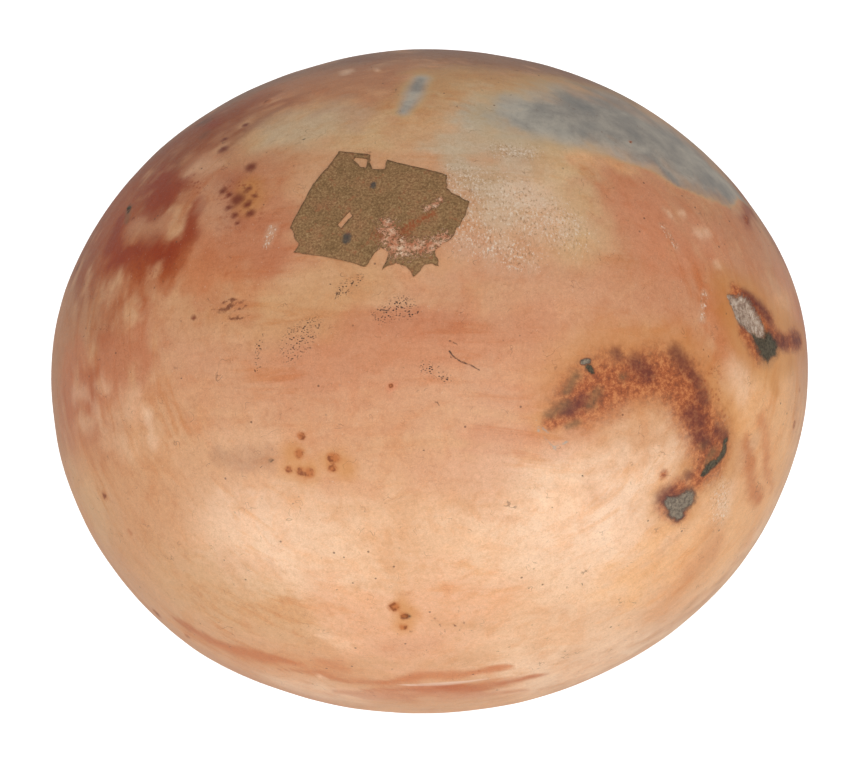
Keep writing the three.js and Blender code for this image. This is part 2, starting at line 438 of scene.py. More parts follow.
def lathe(line, columns):
    """Vertices and faces of a closed turned solid. Both ends of the line lie on the axis."""
    rings = line[1:-1]
    angle = np.arange(columns) * 2 * math.pi / columns
    radius, z = rings[:, 0:1], rings[:, 1:2]
    x, y = radius * np.cos(angle), radius * np.sin(angle)
    grid = np.stack([x, y, np.broadcast_to(z, x.shape)], axis=2).reshape(-1, 3)
    first, last = np.array([[0, 0, line[0, 1]]]), np.array([[0, 0, line[-1, 1]]])
    vertices = np.vstack([grid, first, last])
    top, bottom = len(grid), len(grid) + 1
    faces = []
    for row in range(len(rings) - 1):
        for column in range(columns):
            after = (column + 1) % columns
            a, b = row * columns + column, row * columns + after
            faces.append((a, a + columns, b + columns, b))
    start = (len(rings) - 1) * columns
    for column in range(columns):
        after = (column + 1) % columns
        faces.append((top, column, after))
        faces.append((bottom, start + after, start + column))
    return vertices, faces


def set_field(mesh, name, values):
    """Stores one number a vertex, which the material reads by name."""
    mesh.attributes.new(name, "FLOAT", "POINT").data.foreach_set("value", values.astype(np.float32))


def set_colour(mesh, name, values):
    colours = np.column_stack([values, np.ones(len(values))]).astype(np.float32)
    mesh.color_attributes.new(name, "FLOAT_COLOR", "POINT").data.foreach_set("color", colours.ravel())


def set_vector(mesh, name, values):
    stored = mesh.attributes.new(name, "FLOAT_VECTOR", "POINT").data
    stored.foreach_set("vector", values.astype(np.float32).ravel())


# ---------------------------------------------------------------- what is painted on the rind

# Broad washes of colour, laid one over another: colour, path, half-width and strength, then the softness of
# the edge where it isn't the usual one. A few stand in for light: painted highlight where the softboxes
# shine on the lower crown, and painted shade along the far rim.
WASH_SOFTNESS = 0.9
WASHES = [
    # Cream and pale peach where the softboxes shine on the lower crown: partly the rind's pale colour,
    # partly painted highlight.
    (CREAM, [(24, -38), (42, -40)], 15, 0.9),
    (CREAM, [(14, -50), (40, -54)], 13, 0.75),
    (PALE_PEACH, [(18, -68), (44, -66), (62, -54)], [14, 16, 13], 0.85),
    (CREAM, [(28, -86), (48, -80)], 11, 0.7),
    (CREAM, [(-32, -45), (-20, -50)], [9, 10], 0.95),
    (PALE_PEACH, [(-40, -40), (-12, -42), (6, -48)], [9, 11, 11], 0.6),
    (CREAM, [(-40, -88), (-24, -92)], 7, 0.6),
    (HONEY, [(52, -50), (72, -44), (82, -24), (76, -8), (64, -12)], [11, 13, 13, 8, 7], 0.9, 0.8),
    (HONEY, [(-78, -30), (-90, -34)], 8, 0.4),
    (BUFF, [(-84, -30), (-78, -38)], 9, 0.6),
    (BUFF, [(-60, -52), (-44, -56), (-30, -62)], [9, 9, 7], 0.6),
    (PINK, [(-44, -6), (-20, -12), (8, -10), (24, -6)], [11, 12, 13, 10], 0.6, 0.8),
    (SALMON, [(-22, -6), (0, -4), (16, -3)], [7, 7, 6], 0.85, 0.8),
    (SALMON, [(-20, -9), (-4, -10)], 3, 0.5),
    (PINK, [(14, -16), (18, -12)], 7, 0.5),
    (SALMON, [(8, -23), (24, -23), (29, -20)], [2.5, 3.2, 3], 0.6),
    (OCHRE, [(-44, 3), (-26, 3), (-12, 5)], [5, 5, 4], 0.55),
    (PINK, [(-46, 2), (-42, -4)], 5, 0.5),
    (PINK, [(0, -30), (12, -31)], 5, 0.5),
    (BLUSH, [(-10, -66), (8, -62), (14, -56)], [8, 7, 5], 0.5),
    (TAN, [(-96, -8), (-86, 10), (-68, 6)], [13, 15, 8], 0.95, 0.8),
    (DEEP_SALMON, [(-80, -8), (-66, -8), (-58, -2)], [8, 8, 6], 0.85, 0.8),
    (DEEP_SALMON, [(-78, -18), (-68, -18), (-62, -12)], [7, 6, 4], 0.6),
    (ORANGE_PEACH, [(-76, -24), (-58, -34), (-70, -46)], [6, 8, 8], 0.55),
    (RUSSET, [(-88, 34), (-72, 46), (-58, 54), (-44, 62)], [12, 14, 12, 8], 0.95, 0.7),
    (RUSSET, [(-76, 24), (-60, 30), (-50, 36)], [8, 11, 9], 0.85, 0.8),
    (MAUVE, [(-88, 46), (-72, 60), (-54, 68)], [10, 10, 8], 0.8, 0.7),
    (DEEP_SALMON, [(-42, 30), (-38, 18), (-28, 12)], [7, 9, 5], 0.85, 0.8),
    (SALMON, [(-47, 38), (-42, 36)], 4.5, 0.7),
    (PALE_PEACH, [(-47, 36), (-44, 35)], 2.6, 0.5),
    (YELLOW_BUFF, [(-33, 42), (-22, 45), (-14, 43)], [6, 8, 7], 0.9, 0.8),
    (BUFF, [(-36, 52), (-24, 52)], 6, 0.5),
    (DEEP_SALMON, [(-16, 46), (-14, 50)], 3.5, 0.45),
    (MAUVE, [(-48, 68), (-24, 72), (0, 75), (28, 74), (46, 68)], [11, 10, 10, 10, 8], 0.95, 0.6),
    (DEEP_SALMON, [(-38, 60), (-22, 60), (-10, 62)], [6, 7, 6], 0.6, 0.8),
    (TAN, [(-28, 64), (-12, 60), (-6, 68)], [7, 7, 5], 0.7, 0.8),
    # Painted shade along the far rim, the side turned from the softboxes, over the rind's own mauve-brown.
    (MAUVE_AND_RIM_SHADE, [(-64, 72), (-40, 84), (0, 90), (40, 86), (70, 70), (86, 50)], [9, 9, 9, 9, 10, 9], 0.9, 0.8),
    (OCHRE, [(3, 60), (12, 60), (26, 63)], [7, 6, 4.5], 0.9, 0.8),
    (OCHRE, [(-1, 50), (5, 54)], 6, 0.7),
    (ORANGE, [(9, 54), (13, 56), (21, 56)], [1.6, 2, 1.4], 0.4),
    (YELLOW_BUFF, [(10, 50), (18, 53), (27, 57)], [7, 5, 3.5], 0.9, 0.8),
    (YELLOW_BUFF, [(-4, 42), (3, 43), (10, 44)], 6, 0.6),
    (PALE_GREY, [(8, 39), (16, 38), (22, 34)], [7, 6, 5], 0.85, 0.8),
    (PALE_GREY, [(7, 30), (13, 27), (15, 22)], [4, 6, 6], 0.75, 0.7),
    (HAZE, [(10, 46), (20, 46), (28, 42)], [5, 7, 8], 0.85),
    (CREAM, [(19, 24), (22, 20), (24, 28)], [6, 5, 5], 0.6),
    (YELLOW_BUFF, [(24, 34), (28, 28), (28, 18), (24, 13)], [5, 5, 5, 4.5], 0.85, 0.8),
    (HONEY, [(30, 35), (40, 33.5), (50, 31)], [3, 2.6, 1.6], 0.8),
    (PINK, [(8, 13), (18, 8), (30, 2)], [5, 7, 7], 0.7),
    (SALMON, [(40, 26), (43, 14), (50, 6)], [9, 12, 10], 0.9, 0.8),
    (SALMON, [(50, 27), (62, 25), (60, 14)], [8, 7, 8], 0.85),
    (CORAL, [(40, 24), (46, 16), (54, 20)], [6, 6, 5], 0.4),
    (ORANGE, [(55, 9), (56, 2)], [5, 7], 0.7),
    (SALMON, [(72, 22), (82, 16), (92, 8)], [9, 10, 9], 0.8, 0.8),
    (CORAL, [(80, 22), (84, 14)], 5, 0.4),
    (HONEY, [(76, 11), (80, 14)], 3.6, 0.6),
    (RED_BROWN, [(69, 31), (73, 36), (75.5, 42)], [1.8, 2.4, 3], 0.75),
    (RUSSET, [(78, 45), (86, 36)], 8, 0.8, 0.8),
    (RUSSET, [(-54, 50), (-44, 52)], 8, 0.9),
    (DEEP_SALMON, [(-31, 32), (-28, 14)], 5, 0.6),
    (PALE_GREY, [(-30, 44), (-20, 46)], 5, 0.5),
    (SIENNA, [(-76, 40), (-68, 28), (-58, 18), (-50, 15)], [10, 9, 7, 4], 0.8),
    (PINK, [(-60, 26), (-52, 24)], [3.4, 3], 0.7),
    (RED_BROWN, [(-69, 30), (-68, 24), (-65, 20)], [2.2, 2.6, 2.8], 0.9, 0.6),
    (RED_BROWN, [(-62, 18), (-56, 15.5), (-50, 15)], [3, 3.6, 3.2], 1, 0.6),
    (RED_BROWN, [(-47.5, 15), (-45.5, 20), (-44.5, 25.5)], [2.4, 2, 1.4], 0.9, 0.6),
    (RED_BROWN, [(-60, 38), (-57, 32), (-53, 31), (-56, 27)], [3.6, 4, 3.4, 2], 0.9, 0.6),
    (RED_BROWN, [(-38, 28), (-36, 23)], [2.4, 2.6], 0.5, 0.8),
    (SIENNA, [(-66, 6), (-60, 10), (-50, 10)], [3, 4, 3], 0.6),
    (SIENNA, [(-72, -6), (-74, -16)], [3, 2.4], 0.5),
    (RED_BROWN, [(-48.4, 33), (-47.4, 30)], [1.4, 1], 0.6),
    (ORANGE, [(-42, 12), (-36, 10), (-32, 6)], [4, 3.4, 2.4], 0.5),
    (TAN, [(-60, 25), (-54, 23)], 3, 0.4),
    (BROWN, [(-53.5, 57), (-51.6, 54)], [1.4, 1.8], 0.75),
    (RUSSET, [(-47, 46), (-43, 45)], 5, 0.4),
    (PALE_PEACH, [(-41, 26), (-39, 24)], 3.4, 0.35),
    (RED_BROWN, [(-49.4, 52.6), (-49, 50.6)], 1.8, 0.6),
    (BROWN, [(-50, 47.4), (-49.6, 46)], 0.9, 0.5),
    (ORANGE_PEACH, [(-62, -71), (-50, -74), (-38, -77), (-20, -81)], [4, 4.4, 5, 3.4], 0.7),
    (BLUSH, [(-22, -58), (-4, -70), (2, -56)], [6, 9, 6], 0.7),
    (PINK, [(-12, -70), (0, -69)], [2, 2], 0.5),
    (BURNT, [(-68, -64), (-56, -70), (-46, -74), (-34, -77)], [0.3, 1.8, 2, 0.4], 0.7, 0.8),
    (BURNT, [(-40, -79.6), (-28, -81.4), (-16, -82.4), (-4, -83)], [0.3, 1.4, 1.4, 0.4], 0.6, 0.8),
    (BURNT, [(-16, -87), (-4, -88), (8, -88.4), (24, -86)], [0.3, 1.4, 1.6, 0.3], 0.6, 0.8),
    (ORANGE, [(-58, -71), (-48, -74.4), (-32, -78)], [0.6, 2.4, 0.8], 0.5),
    (ORANGE, [(-27, -75.6), (-21, -77)], [2, 1.8], 0.5),
    (ORANGE, [(-28, -81.4), (-17, -80.6)], [1.4, 1.6], 0.5),
    (ORANGE, [(-14, -83), (-4, -82), (6, -81.4), (20, -79)], [0.4, 2, 1.8, 0.3], 0.85),
    (BURNT, [(2, -87), (10, -86.6), (18, -85.6), (32, -82)], [0.4, 2.4, 2.4, 0.3], 0.85),
    (DEEP_SALMON, [(-26, -89), (-8, -90), (8, -90), (28, -91)], [1, 4, 4, 0.6], 0.6),
    (BURNT, [(66, -19), (69, -25), (73, -30), (77, -33)], [1.2, 1.7, 2.4, 1.8], 0.7),
    (ORANGE, [(70, -14), (76, -24), (82, -30)], [1, 1.6, 1.2], 0.6),
    (ORANGE, [(60, -52), (63, -48.6), (66, -43)], [2.4, 2.6, 1.8], 0.4),
    (ORANGE_PEACH, [(64, -40), (62, -56), (56, -64)], [3, 4, 3], 0.5),
    (PALE_PEACH, [(64, -31), (64.4, -35)], [2.6, 2], 0.8),
    (CREAM, [(58, -5), (60, -9)], 3, 0.6),
    (CREAM, [(-78, -7), (-75, -8)], 1.6, 0.4),
    (CREAM, [(-68, -7), (-65, -8.4)], 1.8, 0.5),
    (CREAM, [(-71, -11), (-70, -13)], 1.6, 0.4),
    (PALE_PEACH, [(-76, -14), (-74, -15)], 2, 0.6),
    (CREAM, [(-55, -13.4), (-54.4, -14.4)], 1.2, 0.6),
    (CREAM, [(-54, -18), (-53, -19)], 1.4, 0.4),
    (PALE_PEACH, [(-64, -14), (-58, -12)], [3, 2.6], 0.6),
    (PALE_PEACH, [(-68, -18), (-59, -21)], [2.4, 3], 0.5),
    (CREAM, [(-24, -67), (-21.6, -68)], 1.6, 0.45),
    (CREAM, [(-29.4, -82), (-28, -82.4)], 0.9, 0.8),
    (PALE_PEACH, [(-37, -22), (-32, -21)], 3, 0.3),
    (CREAM, [(53, 22), (55, 22.4)], 1.2, 0.6),
    (CREAM, [(56, 15), (56.6, 14.8)], 1, 0.6),
    (CREAM, [(45.6, 25), (46.6, 23.6)], 0.6, 0.6),
    (CREAM, [(48.6, 25.6), (50, 25.8)], 0.8, 0.6),
    (CREAM, [(-21.4, 66.6), (-21.6, 66)], 1.1, 0.7),
    (CREAM, [(-13, 66), (-12.4, 65)], 0.8, 0.7),
    (DEEP_SALMON, [(-38, 4), (-33, 3)], 2.6, 0.5),
    (DEEP_SALMON, [(-12, 1), (4, -2)], [2, 3], 0.5),
    (MAUVE, [(-40, -24), (-32, -26)], [1.4, 2], 0.35),
    (ORANGE, [(-46, -17), (-44, -18)], 1.6, 0.35),
    (ORANGE, [(-20, -31), (-12, -33)], 1.4, 0.25),
    (CORAL, [(-8, -12.6), (-7, -12.4)], 0.9, 0.7),
    # Below the widest ring, and round the back.
    (RUSSET, [(-50, 98), (0, 104), (50, 98)], [14, 15, 14], 0.6, 0.8),
    (TAN, [(-70, 110), (10, 124), (80, 104)], [16, 18, 16], 0.7),
    (ORANGE_PEACH, [(-104, 40), (-116, -10), (-104, -50)], [14, 16, 14], 0.7),
    (SALMON, [(-92, -80), (-40, -112), (10, -120)], [12, 14, 12], 0.7),
    (CREAM, [(60, -100), (96, -70), (108, -20)], [13, 15, 12], 0.7),
    (DEEP_SALMON, [(106, 20), (96, 66)], [13, 14], 0.8),
    (HONEY, [(-20, -108), (36, -108)], [7, 8], 0.6),
    (ORANGE, [(-110, 30), (-114, 4)], [4, 5], 0.5),
    (ORANGE, [(96, -84), (72, -106), (48, -114)], [3, 4, 3], 0.5),
    (BUFF, [(-110, 76), (-90, 100)], [9, 10], 0.6),
    (BURNT, [(-20, 118), (16, 120)], [4, 5], 0.45),
]

# The grey cloud that smoke left: its middle, half-width, and lower edge, which is sharp on the right.
SMOKE_PATH = [(22, 46), (32, 50), (44, 49), (56, 45), (65, 40)]
SMOKE_WIDTH = [10, 13, 15, 15, 9]
SMOKE_EDGE = {
    "x": [16, 22, 30, 40, 45, 50, 55, 60, 65, 68, 71],
    "y": [40, 39, 38, 36, 35, 33, 32, 31.7, 32, 34, 38],
}
SMOKE_EDGE_SOFTNESS = {"x": [20, 32, 42], "mm": [6, 3, 1.1]}
SMOKE_DARKS = [
    ([(28, 52), (36, 56), (40, 51)], [4, 6, 4]), ([(32, 45), (37, 44)], [3, 3]),
    ([(45, 48), (50, 44)], [4, 4]), ([(42, 38.6), (47, 38.4)], [1.6, 1.6]),
    ([(50, 35.6), (56, 33.6), (64, 33.4)], [1.8, 1.5, 1.5]), ([(58, 38.4), (64, 37.6)], [2.6, 2.2]),
    ([(58, 60), (66, 52)], [3, 4]), ([(-2.6, 56), (-1.6, 60)], [1.6, 1.4]),
]
SMALL_SMOKE = [([(-5.4, 47), (-3.6, 53), (-2, 60)], [1.6, 2.6, 2.2])]
FAR_SMOKE_LIMIT = 0.3
FAR_SMOKE = [
    ([(-52, 92), (-36, 101), (-14, 100), (2, 106)], [4, 9, 7, 3]),
    ([(-118, -34), (-108, -52), (-104, -66)], [3, 7, 4]),
    ([(66, -132), (84, -122), (96, -106)], [3, 7, 3]),
]

# Iron stains. An amber glow lies under the rust, and maroon hearts and crusts lie on it.
AMBERS = [
    ([(22, -18), (26, -12), (31, -8), (38, -7), (45, -7)], [3, 6.6, 7, 6, 6]),
    ([(45, -6), (51, -11), (57, -18), (58, -25), (52, -30)], [5.6, 5.4, 5.4, 5.4, 4.6]),
    ([(58, 10), (66, 10), (72, 6), (88, 6)], [4, 4, 4, 4]),
    ([(57, 6), (62, 0), (70, -3), (80, 0)], [3, 4, 4, 3]),
    ([(71.4, -5.6), (74, -8)], [2, 1.4]),
    ([(48, -34), (53, -35)], [4.6, 3.6]),
    ([(-25.6, -24.2)], 1.8),
    ([(-26.4, -27.4), (-23, -27.8)], [1.7, 2]),
    ([(-18.2, -26.4), (-16.2, -28)], [2.2, 2]),
    ([(-6.4, -58.4), (-5, -61), (-6, -64)], [1.8, 2.4, 2]),
    ([(-34.4, 28), (-33.6, 24.6)], [2.4, 2.6]),
    ([(-98, 80), (-92, 92)], [6, 4]),
    ([(62, 104), (76, 98)], [6, 6]),
    ([(-46, -120), (-34, -126)], [4, 5]),
]
STAINS = [
    ([(22, -18.4), (27, -13.6), (31, -10.8), (36, -9.4), (41, -8)], [1.6, 5, 5.4, 4.2, 4.6]),
    ([(41, -8), (46, -9.6), (49, -13.6), (51, -16)], [4.6, 4.8, 4.2, 4]),
    ([(51.4, -16), (55.6, -21), (56.4, -25), (54.6, -28)], [4.4, 4.8, 4, 2.6]),
    ([(50.6, -30.6), (49, -33), (51.6, -35.6)], [2.6, 3.4, 2.4]),
    ([(45.4, -27.6)], 0.9),
    ([(59.6, 10.6), (65, 8.6), (69.6, 6.2), (71, 2), (66, -0.6), (61, 2.6)], [1.4, 2, 2.4, 2.6, 2.6, 1.6]),
    ([(72, 3), (77, 3), (83, 5), (87, 5.8)], [2.2, 1.8, 2.6, 1.8]),
    ([(69.4, 30), (71, 32)], [0.8, 0.9]),
    ([(-97, 82), (-93, 90)], [3, 1.6]),
    ([(64, 103), (73, 99)], [2.4, 3]),
    ([(-44, -121), (-36, -125)], [2, 2.4]),
]
MAROONS = [
    ([(32.4, -5.3), (33, -5.6)], [1, 0.8]), ([(36.2, -6.6), (38.4, -8)], [1.5, 1.6]),
    ([(44.4, -4), (46.4, -6)], [1.4, 1.5]), ([(48, -7.4), (50, -9.4)], [1, 1]),
    ([(51, -11.6), (51.8, -12.6)], [1.5, 1.1]), ([(49.2, -14.8), (51.6, -16.4)], [1.7, 1.7]),
    ([(52, -19), (54.6, -20.4)], [1.6, 1.4]), ([(56.4, -18), (58.8, -19)], [1.1, 1.1]),
    ([(51.4, -27.2), (52.4, -27.6)], [1, 0.8]), ([(46.6, -32.4), (48.4, -31.4)], [1.8, 1.4]),
    ([(52.4, -36.8)], 1), ([(63, 10.4), (67.2, 8.8), (70.6, 6)], [1.1, 1.5, 1.1]),
    ([(74, 2.4), (77.4, 2.8)], [1.6, 1.4]), ([(82, 4.8), (86, 5.6)], [1.9, 1.3]),
    ([(25, -16), (27, -13.6)], [1.2, 1]), ([(71.4, 1.6), (70.6, 3)], [1.2, 1]),
]
CRUSTS = [
    ([(59.2, -19.6), (59.5, -22.4), (58.2, -24.6)], [0.5, 0.6, 0.6]),
    ([(57.6, -24.4), (56.4, -26), (55.6, -27.2)], [0.8, 1, 0.5]),
    ([(65.6, 1.6), (68.6, -0.2), (71.4, 0.6)], [1.5, 2.3, 1.7]), ([(69, 2.6), (70.4, 2)], [1.1, 1.1]),
    ([(27.4, -8), (28.2, -8.8)], [0.55, 0.35]), ([(-30.6, -25.8), (-29.8, -25.2)], [0.16, 0.3]),
    ([(-66.6, 33.6), (-65.4, 31.4)], [0.5, 0.6]), ([(-4.6, -61.2), (-5.6, -61.4)], [0.6, 0.6]),
]
GREY_CRUSTS = [
    ([(48.4, -33.4), (50.6, -34.4), (53, -32.6)], [1.2, 2.2, 2]),
    ([(51, -35.4), (52, -36.6)], [1.8, 0.9]), ([(26.4, -7.2), (27.2, -7)], [0.5, 0.5]),
]
# Olive smudges on the stain.
SMUDGES = [
    ([(28.6, -14.6), (29.6, -12.4)], [1.4, 1.2]), ([(33.8, -9.2)], 1),
    ([(26.6, -18), (25, -19)], [1, 0.8]), ([(24, -12.4), (25.4, -9.6)], [1, 1.2]),
    ([(53.6, -21), (54.6, -20.4)], [1.3, 1]), ([(21.4, -17), (24, -15)], [1.2, 2]),
    ([(56.6, -22), (56, -24.4)], [1.4, 1.2]), ([(-66, 32.6), (-64.6, 28)], [1.1, 1]),
]
# Dark red spots: x, y, radius.
RED_SPOTS = [
    (-42.9, 40.5, 1), (-35.1, 33.3, 1.1), (-40, 28.2, 0.75), (-33.2, 21.8, 0.8), (-34.2, 24, 0.8),
    (-36.4, 25.6, 1.3), (-36.4, 22, 0.7), (-38, 24, 0.6), (-43.6, 44, 0.7), (-39.6, 48, 0.7),
    (-42.6, 2.5, 0.5), (-62.6, 28, 0.6), (-90, 26, 1.2), (-84, 24, 1), (-34.6, 27.6, 0.7),
    (-33, 25.6, 0.6), (-38.4, 27, 0.6), (-35.6, 20, 0.5),
]
# Where the skin broke out in fine red dots.
RASHES = [
    ([(-36.6, 26.6), (-35, 22)], [5, 4.4]), ([(-60, 38), (-54, 30)], [5, 4]),
    ([(-47, 35), (-46, 30)], [3, 2]), ([(-66, 22), (-56, 15), (-48, 16)], [4, 4, 3]),
    ([(52, -8), (58, -14)], [3, 2]),
]
# Small golden-brown spots where something was stuck: x, y, radius. Some are darker round the rim.
SPOTS = [
    (-23.8, -20.8, 0.85), (-24.6, -24.2, 0.9), (-26.9, -27.2, 0.75), (-24.7, -27.6, 0.9), (-23, -28, 1),
    (-18.1, -25.5, 1.15), (-18.6, -27.6, 0.8), (-7.7, -58.6, 1.25), (-5.5, -61.2, 1), (-6, -64.3, 0.9),
    (-67.2, -40, 0.8), (-73.2, -31.2, 1.1), (-36.8, 57, 1.1), (-7.4, -12.6, 0.5), (42, 43, 0.5),
    (-74.6, -65, 1.6), (-65.6, -71.6, 1.1), (87, -5.6, 0.7), (86.6, -14, 1), (12.4, -79.6, 0.6),
]
# Fine black marks and cracks, each a short path.
MARKS = [
    [(-17.2, 6.3), (-17, 6)], [(-16, 3.3), (-15.7, 4.4)], [(-14.9, 4.5), (-14.6, 5.3)],
    [(-13.5, 5), (-13.2, 6.3)], [(-13.4, 3.7), (-13.1, 4.5)], [(-12.8, 7.6), (-12.7, 8)],
    [(-7.7, 0.5), (-7.3, 1.9)], [(-8.4, 1.3), (-6.9, 0.9)], [(-6, 2.8), (-5.5, 2.2)],
    [(-5, 1.6), (-4.5, 1.4)], [(-4.2, 3), (-4, 3.2)], [(-24.2, -1.3), (-23.7, -1.3)],
    [(-23, -1.8), (-22.3, -2)], [(-21.8, -1.3), (-21.2, -1.5)], [(-20.6, -0.8), (-20.2, -0.4)],
    [(-21, -2.4), (-20.4, -2.2)], [(-22.6, -3), (-22.1, -3.2)], [(-24.3, -3.4), (-23.9, -3.5)],
    [(-23.4, -4.3), (-23, -4.4)], [(-21.5, -4.6), (-21.2, -4.8)], [(-24.1, -6), (-23.9, -6.1)],
    [(-23.5, -7.8), (-23.2, -7.9)], [(-19.7, -3.4), (-19.5, -3.6)], [(-19.4, -1.5), (-18.9, -1.3)],
    [(-22.4, -0.6), (-22, -0.5)], [(-29.4, -3), (-29.2, -4.3)], [(-30.3, -5.4), (-30, -6.9)],
    [(-30.6, -8), (-30.5, -8.5)], [(-28.8, -1.9), (-28.7, -2.3)], [(4.1, 1.1), (5, 0.6), (5.3, 0.8)],
    [(3.5, -4.5), (4.5, -4.8), (4.9, -5.3)], [(3.5, -6.4), (4.2, -7.4), (5.6, -8.3)],
    [(5.6, -8.3), (7.4, -8.8), (9, -9.7)], [(3.8, -7.6), (4, -7.8)], [(2.2, -11.6), (2.4, -11.8)],
    [(-2.9, -9), (-2.6, -9.1)], [(-5, -9.3), (-4.7, -9.4)], [(0.6, -16), (1.4, -16.3), (1.7, -16.9)],
    [(-1.4, -25.2), (-1.2, -25.3)], [(30, -53.2), (30.2, -53.5)], [(33, -52.9), (33.4, -53.9)],
    [(-38.9, -34.7), (-37.8, -35.6)], [(-48.5, -12.3), (-48.1, -12.7)], [(-45.4, -8.5), (-45, -8.6)],
    [(28.9, -28.3), (29, -28.6)], [(-27.3, 39.3), (-26.8, 40.1), (-25.7, 39.8)],
    [(-25.7, 39.8), (-24.8, 40.4), (-23.9, 39.7)], [(-12, 39.8), (-11.8, 39.6)],
    [(-73.3, 4), (-72.7, 3), (-72, 2.3)], [(-77.6, 34.4), (-75, 33), (-72, 31.4)],
    [(-33.8, -69), (-32, -69.3)], [(-36.2, -86.8), (-35.2, -86.4)], [(-30.9, -26), (-32, -26.3)],
    [(19.6, -8.6), (20, -8.8)], [(-17, 40.8), (-15.8, 40.7)], [(-80, 24.6), (-79.4, 23.6)],
]
# Where fine black specks lie thick.
SPECKS = [
    ([(-24, -5), (-22, -3), (-19.6, -1)], [2.4, 3, 2]),
    ([(-8, 0.6), (-5, 1.8), (-3, 0.6)], [1.8, 2.4, 1.4]), ([(-14.6, 5), (-12.6, 6.6)], [1.6, 1.2]),
    ([(-1, -9.6), (3, -11.6)], [1.4, 1]), ([(-30, -8), (-29.4, -3)], [0.5, 0.7]),
]
# Hairline scratches, brown.
SCRATCHES = [
    [(1.2, -61.6), (2.4, -64), (4.2, -66.8)], [(4.6, -62.8), (6.4, -65), (8.4, -67.2)],
    [(6.4, -60), (7.6, -63.6)], [(0.6, -62.6), (2, -61.6)], [(-39, 3.5), (-36, 3.2), (-33.4, 1.7)],
    [(-36, 3.2), (-34.4, 4.9), (-31.6, 3.2)], [(-35.6, 1.4), (-33.6, 1), (-31.4, 1.6)],
    [(-34.6, 4.9), (-36.6, 4.4)], [(-18, 74), (-14, 67)], [(-35.4, 3.8), (-32.4, 2.6)],
    [(-37.6, 2.6), (-35, 2)], [(-34, 4.2), (-32, 4.4)],
]
# Places rubbed pale, with cream flecks.
SCUFFS = [
    ([(6, 29), (10, 26), (16, 22), (24, 17)], [4, 6, 7, 5]), ([(4, 24), (8, 16), (16, 12)], [3, 5, 4]),
    ([(-29.2, 14), (-28.6, 17.4)], [0.8, 1]), ([(44, 21), (46, 17)], [0.7, 1]),
    ([(51, 8), (50, 3)], [0.8, 0.8]), ([(57, -17), (56, -24)], [2, 2]), ([(14, 36), (20, 36)], [3, 2.4]),
    ([(3, 27.5), (6, 25)], [2.4, 2.6]), ([(60, -28), (64, -36)], [3, 3]),
]
# Pale grey scratches, then the chip at the stain, and a painted highlight: a pale line of light painted near
# the rim.
GREY_SCRATCHES = [
    [(19.2, -18), (19.8, -20.4), (21.6, -22), (23.8, -24)], [(20.4, -19.6), (21.8, -20.6)],
    [(23.4, -23.4), (25.4, -22.2)],
]
CHIP = ([(58.2, 8.6), (62, 6.6), (66.6, 3.4)], [1, 3.7, 2.5])
CHIP_DEPTH = 0.9 * MM
PAINTED_HIGHLIGHT_LINE = ([(-9, -85.4), (4, -84.8), (16, -83.4)], [0.4, 1, 0.4])
# How the skin's colours ran: noise scale, shift, the noise's low and high, strength, tint.
RUN_COLOURS = [
    (62, (0, 0, 0), 0.47, 0.62, 0.55, (1.0, 0.9, 0.8)),
    (78, (0.7, 0.2, 0.1), 0.5, 0.64, 0.55, (1.07, 1.1, 1.12)),
    (120, (0.3, 0.9, 0.4), 0.52, 0.62, 0.45, (0.95, 0.84, 0.74)),
    (170, (0.1, 0.5, 0.8), 0.52, 0.64, 0.5, (1.06, 1.08, 1.1)),
    (300, (0.6, 0.6, 0.2), 0.53, 0.62, 0.4, (0.93, 0.84, 0.76)),
    (420, (0.2, 0.3, 0.6), 0.54, 0.66, 0.4, (1.07, 1.08, 1.08)),
]
# Fine hair scratches all over: noise scale, shift, thickness, how rare they are, strength, colour.
HAIRS = [
    (160, (0.3, 0.1, 0.5), 0.007, 0.6, 0.4, (112, 64, 40)),
    (110, (0.8, 0.4, 0.2), 0.005, 0.61, 0.5, (96, 56, 34)),
]


def union(spots, strokes):
    """The closest of several strokes."""
    return np.max([closeness(spots, path, width) for path, width in strokes], axis=0)


def circles(spots, rounds):
    return np.max([closeness(spots, [(x, y)], radius) for x, y, radius in rounds], axis=0)


def crown_map(points):
    """Where points of the outside lie on the crown map, in millimetres."""
    angle, away = polar(points)
    radius = away / swelling(angle, points[:, 2])
    line = outline(even(MAP_STEPS), MAP_STEPS, MAP_NECK_STEPS)
    run = arc_lengths(line)
    on_dome = np.arctan2(radius / MEAN_RADIUS, np.maximum(points[:, 2] - WIDEST_Z, 0) / CROWN_RISE)
    dome_run = np.interp(on_dome, even(MAP_STEPS), run[: MAP_STEPS + 1])
    body_run = np.interp(-points[:, 2], -line[MAP_STEPS:, 1], run[MAP_STEPS:])
    along = np.where(points[:, 2] > WIDEST_Z, dome_run, body_run) / MM
    return np.column_stack([along * np.cos(angle), along * np.sin(angle)]), along, angle


def hairlines(spots, paths, width):
    return np.max([closeness(spots, path, width) for path in paths], axis=0)


